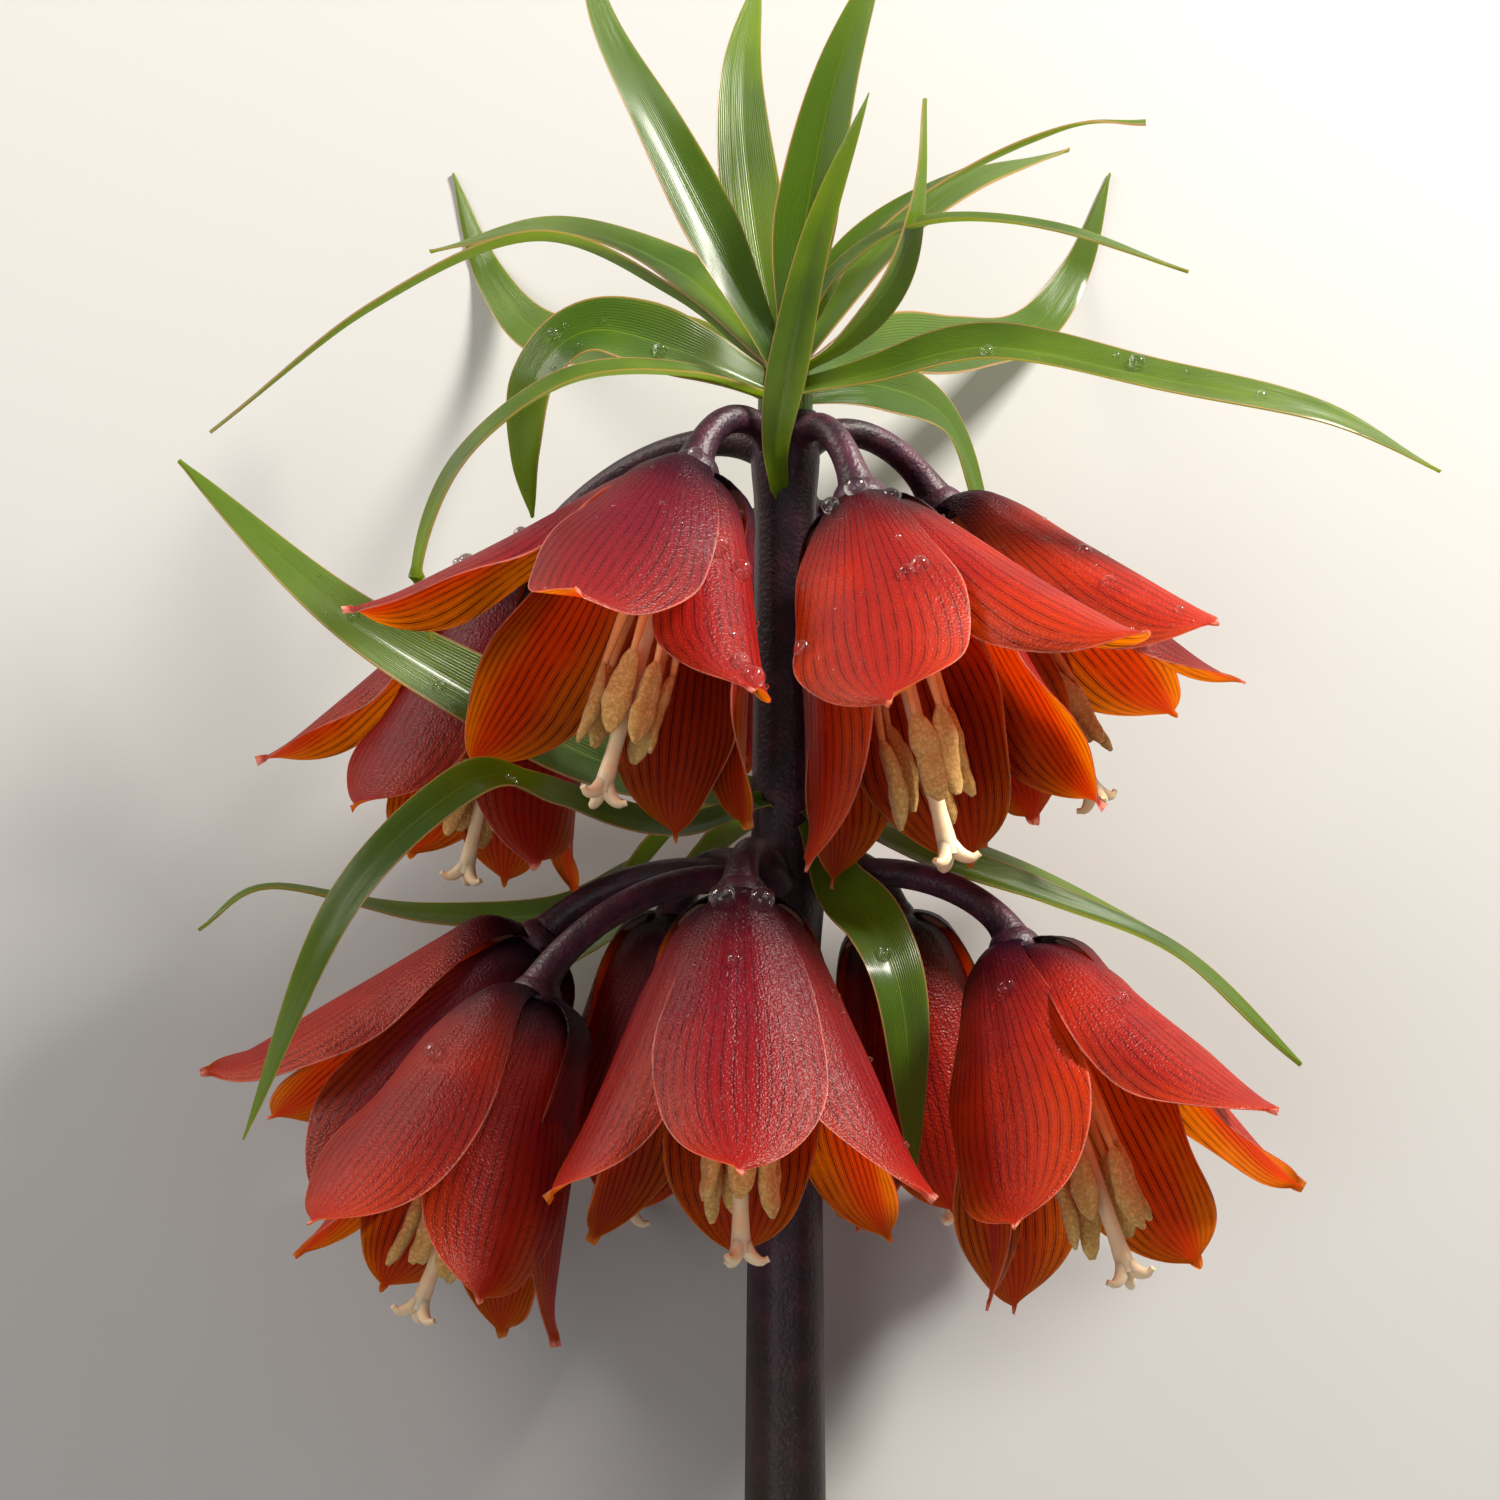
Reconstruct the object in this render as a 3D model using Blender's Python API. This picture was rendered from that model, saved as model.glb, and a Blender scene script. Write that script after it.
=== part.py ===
"""A crown imperial, picked and laid on its side: two tiers of hanging red bells on one stem.

The plant is modelled upright in its own frame, in millimetres: X to the viewer's right, Y up the stem
and Z towards the viewer, with the origin where the top tier's stalks leave the stem. lay_down() then
turns it onto its back, so that it rests on its cut end, its rear bells and two leaf tips, and moves the
origin to the middle of its underside. The finished objects are in metres, +Z up.
"""

import math
from typing import NamedTuple

import bmesh
import bpy
import numpy as np
from mathutils import Matrix, Vector

MM = 0.001
GAP = 0.3
SMOOTH_DEG = 50.0

# The plant lies back at this angle to the surface
LEAN_DEG = 15.0

# The stem and the curved stalks of the bells
CUT_END = -228.0
STEM_TOP = 2.0
STEM_RADIUS_TOP = 4.6
STEM_RADIUS_CUT = 7.0
STEM_SIDES = 10
STEM_STEPS = 7
TOP_TIER = -4.0
LOWER_TIER = -74.0
STALK_RADIUS = 2.3
STALK_FLARE = 0.25
STALK_RISE = 9.0
STALK_HANDLE = 8.0
STALK_END = 1.2
STALK_SIDES = 5
STALK_STEPS = 6

# One bell: a tepal is one of its six petals. Every second one is an outer one, which covers the edges of
# its neighbours and has a hump over its nectary
TEPAL_LENGTH = 58.0
TEPAL_WIDTH = 27.0
TEPAL_WIDEST = 0.6
TEPAL_ROOT_WIDTH = 0.24
TEPAL_THICKNESS = 0.8
TEPAL_STATIONS = (0.0, 0.13, 0.36, 0.64, 0.87, 1.0)
TEPAL_COLUMNS = 3
TEPAL_ROOT = (2.4, 2.8)
OUTER_STEP = 1.3
SHOULDER_DEG = 80.0
SHOULDER_SHARE = 0.12
HUMP = 1.2
HUMP_AT = 0.12
HUMP_SPREAD = 0.08
CUP_INNER = 16.0
CUP_OUTER = 24.0
RECEPTACLE_RADIUS = 4.4
RECEPTACLE_DEPTH = 4.6
RECEPTACLE_SIDES = 8

# Stamens and pistil, as distances from the top of the bell
DISC_RADIUS = 3.0
DISC_DEPTH = 1.6
FILAMENT_ROOT = 1.7
FILAMENT_RADIUS = 0.9
FILAMENT_SIDES = 4
ANTHER_RADIUS = 2.0
ANTHER_START = 37.0
ANTHER_END = 50.0
ANTHER_SPREAD = 6.2
PISTIL_RADIUS = 1.5
PISTIL_SIDES = 6
PISTIL_END = 56.0
STIGMA_LOBES = 3
STIGMA_RADIUS = 1.0
STIGMA_REACH = 3.6

# Leaves
LEAF_THICKNESS = 0.8
LEAF_ROWS = 7
LEAF_FOLD = 0.35
LEAF_ROOT_WIDTH = 0.42
LEAF_WIDEST = 0.35
LEAF_TIP_WIDTH = 0.1
CROWN_CORE_RADIUS = 4.4
CROWN_CORE_TOP = 15.0
CROWN_CORE_SIDES = 8

COLOURS = {
    "petal": ((0.62, 0.05, 0.02, 1.0), 0.45),
    "stamen": ((0.86, 0.68, 0.36, 1.0), 0.6),
    "leaf": ((0.16, 0.32, 0.05, 1.0), 0.4),
    "stem": ((0.10, 0.03, 0.05, 1.0), 0.5),
}


class Bell(NamedTuple):
    """One flower: where its stalk ends, the way its mouth points, its size and its tepals.

    Each tepal is (turn about the bell's axis, from the viewer towards the left, opening from that axis), in
    degrees, with the radius of its cup where it is rolled in more than the others.
    """

    name: str
    base: tuple
    mouth: tuple
    size: float
    tepals: tuple


class Leaf(NamedTuple):
    """One leaf: points along its rib from the stem outwards, its full width and the side it faces."""

    points: list
    width: float
    face: tuple


BELLS = [
    Bell("top_front_left", (-14, -6, 16), (-15, -55, 20), 1.0,
         ((14, 36), (84, 43), (135, 22), (-145, 12), (-100, 12), (-28, 33, 8.5))),
    Bell("top_front_right", (11, -10, 15), (14, -57, 12), 1.06,
         ((6, 41), (-44, 46, 10), (-115, 16), (-170, 10), (125, 10), (70, 12))),
    Bell("top_right", (24, -10, -11), (27, -50, 3), 0.97,
         ((-40, 39, 11), (-86, 22), (-140, 22), (165, 18), (98, 9), (40, 8))),
    Bell("top_left", (-40, -20, -20), (-12, -52, 6), 0.93,
         ((42, 20), (98, 36), (150, 12), (-160, 8), (-100, 8), (-32, 14))),
    Bell("top_rear", (2, -9, -21.3), (1, -52, -14), 0.9,
         ((0, 10), (60, 12), (120, 15), (180, 15), (-120, 15), (-60, 12))),
    Bell("lower_front", (-7, -71, 30), (0, -52, 12), 1.0,
         ((0, 26), (60, 25), (120, 16), (180, 12), (-120, 16), (-60, 25))),
    Bell("lower_left", (-38, -80, -9), (-36, -47, -3), 1.0,
         ((75, 22), (5, 16), (-58, 10), (-118, 10), (178, 12), (130, 14))),
    Bell("lower_front_left", (-38, -87, 17), (-19, -51, 10), 0.95,
         ((40, 22), (100, 12), (160, 10), (-140, 12), (-80, 12), (-20, 18))),
    Bell("lower_right", (35, -80, 13), (17, -51, 20), 1.0,
         ((28, 22), (88, 12), (145, 22), (-150, 14), (-95, 20), (-45, 33))),
    Bell("lower_rear_right", (17, -76, -15.7), (11, -53, 0), 0.9,
         ((0, 8), (60, 10), (120, 12), (180, 12), (-120, 12), (-60, 8))),
    Bell("lower_rear_left", (-17, -76, -15.7), (-9, -53, 0), 0.9,
         ((0, 8), (60, 8), (120, 10), (180, 12), (-120, 12), (-60, 10))),
]

# The tuft at the stem's tip. Its last two leaves lie on the surface with their tips
CROWN_LEAVES = [
    Leaf([(2, 6, 2), (13, 8, 7), (32, 12, 9), (58, 7, 11), (84, 2, 10), (103, -7, 6)], 12, (0, 0.8, 0.6)),
    Leaf([(1, 9, 3), (9, 14, 6), (17, 24, 7), (21, 38, 6), (22, 52, 4)], 8, (0.9, 0, 0.5)),
    Leaf([(0, 10, 2), (8, 24, 5), (22, 32, 7), (42, 31, 9), (63, 24, 10)], 6, (0, 1, 0.4)),
    Leaf([(0, 11, 0), (8, 26, -3), (22, 38, -6), (45, 49, -8), (58, 50, -9)], 6, (0.5, 0.8, 0)),
    Leaf([(-2, 6, 2), (-14, 11, 5), (-30, 15, 7), (-39, 8, 8), (-41, -4, 6), (-40, -14, 2)], 13,
         (-0.3, 0.5, 0.8)),
    Leaf([(-2, 5, 4), (-16, 8, 12), (-34, 6, 18), (-50, -6, 20), (-57, -22, 18), (-55, -34, 14)], 9,
         (0, 1, 0.3)),
    Leaf([(-1, 10, 1), (-9, 26, 0), (-20, 48, -3), (-29, 66, -8), (-33, 82, -14)], 10, (0.3, 0.1, 1)),
    Leaf([(-2, 9, 0), (-18, 22, -4), (-40, 31, -6), (-66, 20, -6), (-92, 0, -6)], 8, (0.1, 1, 0)),
    Leaf([(1, 11, 0), (3, 32, 2), (8, 56, 0), (16, 78, -6)], 11, (0, 0.1, 1)),
    Leaf([(-1, 11, -1), (-5, 34, -8), (-7, 58, -18), (-4, 78, -32)], 11, (0, 0.3, 1)),
    Leaf([(1, 10, -2), (14, 28, -14), (30, 42, -26), (48, 50, -42)], 11, (-0.3, 0.7, 0.6)),
    Leaf([(2, 6, -2), (14, 8, -12), (26, 4, -26), (32, -8, -34), (34, -20, -38)], 10, (1, 0.2, 0.5)),
    Leaf([(-1, 9, -2), (-16, 26, -18), (-38, 36, -34), (-60, 34, -52)], 11, (0, 0.9, 0.5)),
    Leaf([(1, 6, -3), (14, 14, -20), (30, 17, -44), (43, 22, -66), (52, 34, -77), (58, 51, -81.55)],
         13, (0, 0.26, 0.97)),
    Leaf([(-1, 6, -3), (-14, 14, -20), (-30, 17, -44), (-43, 22, -66), (-52, 34, -77), (-58, 51, -81.55)],
         13, (0, 0.26, 0.97)),
]

# Leaves that stand on the stem by themselves
SINGLE_LEAVES = {
    "leaf_top_front": Leaf([(-1, -9, 5.6), (-1.5, -2, 8.5), (0.5, 10, 11), (5, 30, 12), (13, 52, 10)], 7,
                           (0, 0, 1)),
    "leaf_far_left": Leaf([(-6, -58, 0.5), (-26, -54, 0.5), (-48, -43, 2), (-70, -29, 6), (-96, -5, 2)], 15,
                          (0.3, 0.5, 0.8)),
    "leaf_left": Leaf([(-4.8, -58, -2.75), (-16, -62, -13), (-25, -71, -24), (-38, -78, -28), (-60, -78, -28),
                       (-84, -73, -20), (-95, -80, -16)], 9, (0, 1, 0.5)),
    "leaf_arching": Leaf([(-4.4, -59, 5), (-16, -63, 10), (-28, -61, 14), (-38, -57.5, 24), (-48, -56, 36),
                          (-66, -74, 50), (-80, -108, 54)], 9, (0.2, 0.8, 0.6)),
    "leaf_front_right": Leaf([(4, -62, 4.6), (8, -71.5, 8), (14, -79, 14), (18, -91, 19), (20, -117, 17)], 11,
                             (0.3, 0, 1)),
    "leaf_right": Leaf([(6, -60, 0), (20, -67.5, -3), (42, -75, -8), (64, -84, -13), (84, -102, -18)], 12,
                       (0, 1, 0.4)),
    "leaf_rear_right": Leaf([(4, -60, -5), (20, -65.5, -15), (40, -71, -26), (60, -80, -34)], 12,
                            (0, 0.9, 0.4)),
    "leaf_rear_left": Leaf([(-2.5, -61, -5.05), (-9, -66, -24), (-24, -78, -38), (-46, -92, -39)], 12,
                           (0, 0.9, 0.4)),
}


def clear_scene():
    """Empty the scene of objects."""
    for obj in list(bpy.data.objects):
        bpy.data.objects.remove(obj, do_unlink=True)


def material(name):
    """The Principled material of this name, made on first use."""
    made = bpy.data.materials.get(name)
    if made:
        return made
    colour, roughness = COLOURS[name]
    made = bpy.data.materials.new(name)
    made.use_nodes = True
    shader = made.node_tree.nodes["Principled BSDF"]
    shader.inputs["Base Color"].default_value = colour
    shader.inputs["Roughness"].default_value = roughness
    shader.inputs["Metallic"].default_value = 0.0
    return made


def smooth_step(x):
    """0 below 0, 1 above 1, and a smooth rise between."""
    x = min(1.0, max(0.0, x))
    return x * x * (3 - 2 * x)


def unit(vector):
    """The vector as a numpy array of length 1."""
    vector = np.asarray(vector, float)
    return vector / np.linalg.norm(vector)


def mesh_object(name, shape, colour):
    """An object from a shape, which is (points in millimetres, faces), with its normals facing out."""
    points, faces = shape
    mesh = bpy.data.meshes.new(name)
    mesh.from_pydata([tuple(float(c) * MM for c in p) for p in points], [], faces)
    shell = bmesh.new()
    shell.from_mesh(mesh)
    bmesh.ops.recalc_face_normals(shell, faces=shell.faces)
    shell.to_mesh(mesh)
    shell.free()
    mesh.materials.append(material(colour))
    obj = bpy.data.objects.new(name, mesh)
    bpy.context.scene.collection.objects.link(obj)
    return obj


def tube(path, radii, sides):
    """The shape of a closed round tube along a path, with one radius for each of its points."""
    path = np.asarray(path, float)
    along = np.gradient(path, axis=0)
    side = np.cross(unit(along[0]), (0.31, 0.17, 0.93))
    points, faces = [], []
    for direction, centre, radius in zip(along, path, radii):
        direction = unit(direction)
        side = unit(side - direction * np.dot(side, direction))
        other = np.cross(direction, side)
        turns = [2 * math.pi * j / sides for j in range(sides)]
        points += [centre + radius * (math.cos(a) * side + math.sin(a) * other) for a in turns]
    last = (len(path) - 1) * sides
    for start in range(0, last, sides):
        for j in range(sides):
            k = (j + 1) % sides
            faces.append((start + j, start + k, start + sides + k, start + sides + j))
    faces.append(tuple(range(sides)))
    faces.append(tuple(range(last, last + sides)))
    return points, faces


def blade(front, back):
    """The shape of a thin closed plate between two alike grids of points, both split alike."""
    rows, columns = len(front), len(front[0])
    points = [p for row in front for p in row] + [p for row in back for p in row]
    far = rows * columns
    faces = []
    for i in range(rows - 1):
        for j in range(columns - 1):
            a, b = i * columns + j, i * columns + j + 1
            c, d = b + columns, a + columns
            left_half = j * 2 < columns - 1
            for corners in ((a, b, c), (a, c, d)) if left_half else ((a, b, d), (b, c, d)):
                faces.append(corners)
                faces.append(tuple(far + n for n in reversed(corners)))
    rim = list(range(columns))
    rim += [i * columns + columns - 1 for i in range(1, rows)]
    rim += [(rows - 1) * columns + j for j in range(columns - 2, -1, -1)]
    rim += [i * columns for i in range(rows - 2, 0, -1)]
    for here, there in zip(rim, rim[1:] + rim[:1]):
        faces.append((here, there, far + there))
        faces.append((here, far + there, far + here))
    return points, faces


def join(body, tools):
    """Fuse the tool objects into the body with one Boolean union, and remove them."""
    group = bpy.data.collections.new("to_join")
    bpy.context.scene.collection.children.link(group)
    for tool in tools:
        bpy.context.scene.collection.objects.unlink(tool)
        group.objects.link(tool)
    union = body.modifiers.new("union", "BOOLEAN")
    union.operation = "UNION"
    union.operand_type = "COLLECTION"
    union.collection = group
    union.solver = "MANIFOLD"
    bpy.context.view_layer.update()
    fused = bpy.data.meshes.new_from_object(body.evaluated_get(bpy.context.evaluated_depsgraph_get()))
    body.modifiers.clear()
    body.data = fused
    for tool in tools:
        bpy.data.objects.remove(tool, do_unlink=True)
    bpy.data.collections.remove(group)
    return body


def bell_matrix(bell):
    """A bell's place in the plant's frame: its Z along its mouth and its X towards the viewer."""
    axis = unit(bell.mouth)
    front = np.array((0.0, 0.0, 1.0))
    front = unit(front - axis * np.dot(front, axis))
    side = np.cross(axis, front)
    placed = Matrix.Identity(4)
    for row in range(3):
        placed[row][0], placed[row][1], placed[row][2] = front[row], side[row], axis[row]
        placed[row][3] = bell.base[row] * MM
    return placed @ Matrix.Scale(bell.size, 4)


def tepal_half_width(along):
    """Half the width of a tepal at this share of its length."""
    if along < TEPAL_WIDEST:
        rise = math.sin(math.pi / 2 * along / TEPAL_WIDEST) ** 1.2
        share = TEPAL_ROOT_WIDTH + (1 - TEPAL_ROOT_WIDTH) * rise
    else:
        fall = ((along - TEPAL_WIDEST) / (1 - TEPAL_WIDEST)) ** 2.2
        share = max(0.08, 1 - fall) ** 0.7
    return TEPAL_WIDTH / 2 * share


def tepal_rib(opening, outer):
    """(distance from the bell's axis, depth below its top, lean) at each station along a tepal's rib."""
    steps = 100
    radius, depth = TEPAL_ROOT
    line = []
    for i in range(steps + 1):
        along = i / steps
        bend = math.exp(-((along / SHOULDER_SHARE) ** 1.5))
        lean = math.radians(opening * (0.9 + 0.2 * along) + (SHOULDER_DEG - opening) * bend)
        line.append((radius, depth, lean))
        radius += TEPAL_LENGTH / steps * math.sin(lean)
        depth += TEPAL_LENGTH / steps * math.cos(lean)
    lift = OUTER_STEP if outer else 0.0
    rib = []
    for along in TEPAL_STATIONS:
        radius, depth, lean = line[round(along * steps)]
        rib.append((radius + lift * math.cos(lean), depth - lift * math.sin(lean), lean))
    return rib


def tepal(outer, turn_deg, opening, rolled=None):
    """The shape of one tepal in its bell's frame."""
    widest_cup = rolled or (CUP_OUTER if outer else CUP_INNER)
    turn = math.radians(turn_deg)
    radial = np.array((math.cos(turn), math.sin(turn), 0.0))
    tangent = np.array((-math.sin(turn), math.cos(turn), 0.0))
    axis = np.array((0.0, 0.0, 1.0))
    outside, inside = [], []
    for along, (radius, depth, lean) in zip(TEPAL_STATIONS, tepal_rib(opening, outer)):
        hump = HUMP * math.exp(-(((along - HUMP_AT) / HUMP_SPREAD) ** 2)) if outer else 0.0
        cup = min(radius / math.cos(lean), widest_cup)
        outward = math.cos(lean) * radial - math.sin(lean) * axis
        centre = radius * radial + depth * axis - cup * outward
        for face, side in ((outside, 1), (inside, -1)):
            row = []
            for j in range(TEPAL_COLUMNS + 1):
                bend = (2 * j / TEPAL_COLUMNS - 1) * tepal_half_width(along) / cup
                normal = math.cos(bend) * outward + math.sin(bend) * tangent
                raised = hump if 0 < j < TEPAL_COLUMNS else 0.0
                row.append(centre + (cup + raised + side * TEPAL_THICKNESS / 2) * normal)
            face.append(row)
    return blade(outside, inside)


def build_bell(bell):
    """A bell's six tepals, grown together at the receptacle on which the stalk ends."""
    path = [(0, 0, depth) for depth in (0.0, 0.25 * RECEPTACLE_DEPTH, RECEPTACLE_DEPTH)]
    radii = [share * RECEPTACLE_RADIUS for share in (0.7, 1.0, 0.8)]
    body = mesh_object("bell_" + bell.name, tube(path, radii, RECEPTACLE_SIDES), "petal")
    tepals = []
    for k, placed in enumerate(bell.tepals):
        tepals.append(mesh_object("tepal", tepal(k % 2 == 0, *placed), "petal"))
    join(body, tepals)
    body.matrix_world = bell_matrix(bell)
    return body


def stamen(turn_deg):
    """The shape of one stamen: a thin filament that ends in a thicker anther."""
    turn = math.radians(turn_deg)
    depths = (RECEPTACLE_DEPTH + 1.0, ANTHER_START - 2.0, ANTHER_START + 3.0, ANTHER_END)
    spreads = (FILAMENT_ROOT, 0.9 * ANTHER_SPREAD, ANTHER_SPREAD, 0.9 * ANTHER_SPREAD)
    radii = (FILAMENT_RADIUS, FILAMENT_RADIUS, ANTHER_RADIUS, 0.6 * ANTHER_RADIUS)
    path = [(s * math.cos(turn), s * math.sin(turn), d) for s, d in zip(spreads, depths)]
    return tube(path, radii, FILAMENT_SIDES)


def stigma_lobe(turn_deg):
    """The shape of one of the short lobes at the pistil's end."""
    turn = math.radians(turn_deg)
    root = (0, 0, PISTIL_END - STIGMA_RADIUS)
    tip = (STIGMA_REACH * math.cos(turn), STIGMA_REACH * math.sin(turn), PISTIL_END + STIGMA_RADIUS)
    return tube([root, tip], (STIGMA_RADIUS, 0.9 * STIGMA_RADIUS), FILAMENT_SIDES)


def build_stamens(bell):
    """A bell's six stamens and its pistil, standing together on a small disc inside the bell."""
    floor = RECEPTACLE_DEPTH + GAP
    path = [(0, 0, depth) for depth in (floor, floor + DISC_DEPTH, floor + DISC_DEPTH + 0.2, PISTIL_END)]
    radii = (DISC_RADIUS, DISC_RADIUS, PISTIL_RADIUS, PISTIL_RADIUS)
    body = mesh_object("stamens_" + bell.name, tube(path, radii, PISTIL_SIDES), "stamen")
    parts = [mesh_object("stamen", stamen(placed[0]), "stamen") for placed in bell.tepals]
    first = bell.tepals[0][0] + 30
    for k in range(STIGMA_LOBES):
        parts.append(mesh_object("lobe", stigma_lobe(first + 360 * k / STIGMA_LOBES), "stamen"))
    join(body, parts)
    body.matrix_world = bell_matrix(bell)
    return body


def stalk(bell):
    """The shape of a bell's curved stalk, from inside the stem to the top of the bell."""
    base, mouth = np.asarray(bell.base, float), unit(bell.mouth)
    out = unit((base[0], 0, base[2]))
    reach = math.hypot(base[0], base[2])
    start = out + (0, TOP_TIER if bell.name.startswith("top") else LOWER_TIER, 0)
    end = base - GAP * mouth
    rising = start + 0.4 * reach * out + (0, STALK_RISE, 0)
    falling = end - STALK_HANDLE * mouth
    path, radii = [], []
    for i in range(STALK_STEPS + 1):
        t = i / STALK_STEPS
        weights = ((1 - t) ** 3, 3 * t * (1 - t) ** 2, 3 * t * t * (1 - t), t**3)
        path.append(sum(w * p for w, p in zip(weights, (start, rising, falling, end))))
        radii.append(STALK_RADIUS * (1 + STALK_FLARE * t**4))
    path.insert(-1, end - STALK_END * mouth)
    radii.insert(-1, radii[-1])
    return tube(path, radii, STALK_SIDES)


def build_stem():
    """The stem from its cut end to its tip, with a stalk for each bell."""
    path = [(0, height, 0) for height in np.linspace(CUT_END, STEM_TOP, STEM_STEPS + 1)]
    radii = np.linspace(STEM_RADIUS_CUT, STEM_RADIUS_TOP, STEM_STEPS + 1)
    body = mesh_object("flower_stem", tube(path, radii, STEM_SIDES), "stem")
    return join(body, [mesh_object("stalk", stalk(bell), "stem") for bell in BELLS])


def curve_through(points, steps):
    """Points at equal steps of a smooth curve through the given points."""
    points = [np.asarray(p, float) for p in points]
    knots = [2 * points[0] - points[1]] + points + [2 * points[-1] - points[-2]]
    fine = []
    for a, b, c, d in zip(knots, knots[1:], knots[2:], knots[3:]):
        for t in np.arange(0, 1, 1 / 24):
            bent = (c - a) * t + (2 * a - 5 * b + 4 * c - d) * t**2 + (3 * b - a - 3 * c + d) * t**3
            fine.append(b + bent / 2)
    fine.append(points[-1])
    steps_between = [np.linalg.norm(q - p) for p, q in zip(fine, fine[1:])]
    lengths = np.concatenate([[0], np.cumsum(steps_between)])
    wanted = np.linspace(0, lengths[-1], steps + 1)
    return np.stack([np.interp(wanted, lengths, [p[k] for p in fine]) for k in range(3)], axis=1)


def leaf_half_width(along, width):
    """Half the width of a leaf at this share of its length."""
    rise = LEAF_ROOT_WIDTH + (1 - LEAF_ROOT_WIDTH) * smooth_step(along / LEAF_WIDEST)
    return width / 2 * max(LEAF_TIP_WIDTH, rise * (1 - along**2.2) ** 0.85)


def leaf_blade(leaf):
    """The shape of a long pointed leaf, folded a little along its rib, and flat at its tip."""
    rib = curve_through(leaf.points, LEAF_ROWS)
    upper, lower = [], []
    for i, (middle, direction) in enumerate(zip(rib, np.gradient(rib, axis=0))):
        along = i / LEAF_ROWS
        direction = unit(direction)
        normal = unit(np.asarray(leaf.face, float) - direction * np.dot(leaf.face, direction))
        half = leaf_half_width(along, leaf.width)
        across = half * np.cross(direction, normal)
        lift = LEAF_FOLD * half * (1 - smooth_step(1.6 * along - 0.6)) * normal
        row = [middle - across + lift, middle, middle + across + lift]
        upper.append([p + LEAF_THICKNESS / 2 * normal for p in row])
        lower.append([p - LEAF_THICKNESS / 2 * normal for p in row])
    return blade(upper, lower)


def build_crown():
    """The tuft of leaves on the stem's tip, grown together round a small core."""
    path = [(0, height, 0) for height in (STEM_TOP + GAP, 0.6 * CROWN_CORE_TOP, CROWN_CORE_TOP)]
    radii = [share * CROWN_CORE_RADIUS for share in (1.0, 0.85, 0.3)]
    body = mesh_object("crown_leaves", tube(path, radii, CROWN_CORE_SIDES), "leaf")
    return join(body, [mesh_object("leaf", leaf_blade(leaf), "leaf") for leaf in CROWN_LEAVES])


def lay_down(objects):
    """Turn the upright plant onto its back, flatten what touches the surface, and centre it there."""
    turn = Matrix.Rotation(math.radians(LEAN_DEG), 4, "X")
    cut_edge = turn @ Vector((0, CUT_END * MM, -STEM_RADIUS_CUT * MM))
    place = Matrix.Translation((0, 0, -cut_edge.z)) @ turn
    for obj in objects:
        obj.data.transform(place @ obj.matrix_world)
        obj.matrix_world = Matrix.Identity(4)
        for vertex in obj.data.vertices:
            vertex.co.z = max(vertex.co.z, 0.0)
    corners = np.array([vertex.co for obj in objects for vertex in obj.data.vertices])
    middle = (corners.min(axis=0) + corners.max(axis=0)) / 2
    for obj in objects:
        obj.data.transform(Matrix.Translation((-middle[0], -middle[1], 0)))
        obj.data.shade_smooth()
        obj.data.set_sharp_from_angle(angle=math.radians(SMOOTH_DEG))


def main():
    """Build every piece upright, then lay the plant down."""
    clear_scene()
    objects = [build_stem(), build_crown()]
    for bell in BELLS:
        objects.append(build_bell(bell))
        objects.append(build_stamens(bell))
    for name, leaf in SINGLE_LEAVES.items():
        objects.append(mesh_object(name, leaf_blade(leaf), "leaf"))
    lay_down(objects)


if __name__ == "__main__":
    main()
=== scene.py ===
"""A picked crown imperial on a pale surface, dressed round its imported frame.

Every form is made upright in the plant's own frame, in millimetres: X to the viewer's right, Y up the stem,
Z towards the viewer, with the origin where the top tier's stalks leave the stem. Placement then lays the
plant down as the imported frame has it.
"""

import logging
import math
import random
from dataclasses import dataclass, replace
from enum import Enum
from typing import Any, Iterable, NamedTuple, Sequence

import bmesh
import bpy
import numpy as np
from mathutils import Matrix, Vector


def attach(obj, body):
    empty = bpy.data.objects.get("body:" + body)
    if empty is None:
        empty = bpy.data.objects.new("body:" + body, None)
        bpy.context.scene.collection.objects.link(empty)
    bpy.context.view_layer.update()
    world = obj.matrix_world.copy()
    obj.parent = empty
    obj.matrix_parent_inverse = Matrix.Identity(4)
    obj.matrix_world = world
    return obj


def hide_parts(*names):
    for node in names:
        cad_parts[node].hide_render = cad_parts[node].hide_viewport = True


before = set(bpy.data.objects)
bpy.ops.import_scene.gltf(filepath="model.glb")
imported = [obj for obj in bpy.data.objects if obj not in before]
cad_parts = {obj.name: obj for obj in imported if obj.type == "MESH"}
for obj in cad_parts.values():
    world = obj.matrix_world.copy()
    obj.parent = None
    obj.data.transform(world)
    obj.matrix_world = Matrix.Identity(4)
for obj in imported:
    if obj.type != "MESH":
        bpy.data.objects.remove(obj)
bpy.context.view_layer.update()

LOG = logging.getLogger("crown_imperial")
MM = 0.001
SMOOTH_DEG = 50.0
SEED = 11

Point = Sequence[float]
Colour = tuple[float, float, float]
Socket = bpy.types.NodeSocket
Material = bpy.types.Material
Piece = bpy.types.Object


class Tier(Enum):
    """Where on the stem a tier's stalks leave it, in millimetres up the plant."""

    TOP = -4.0
    LOWER = -74.0


class Tepal(NamedTuple):
    """One of a bell's six petals: its turn about the axis, its opening and the curl of its tip, in degrees.

    A petal that is rolled in more than the others has the radius of its cup, in millimetres.
    """

    turn: float
    opening: float
    rolled: float | None = None
    curl: float = 18.0


class Skin(NamedTuple):
    """The two sides of a petal or a leaf, as grids of points, and each row's share of its length."""

    front: np.ndarray
    back: np.ndarray
    shares: np.ndarray


Skins = dict[str, Skin]


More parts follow.
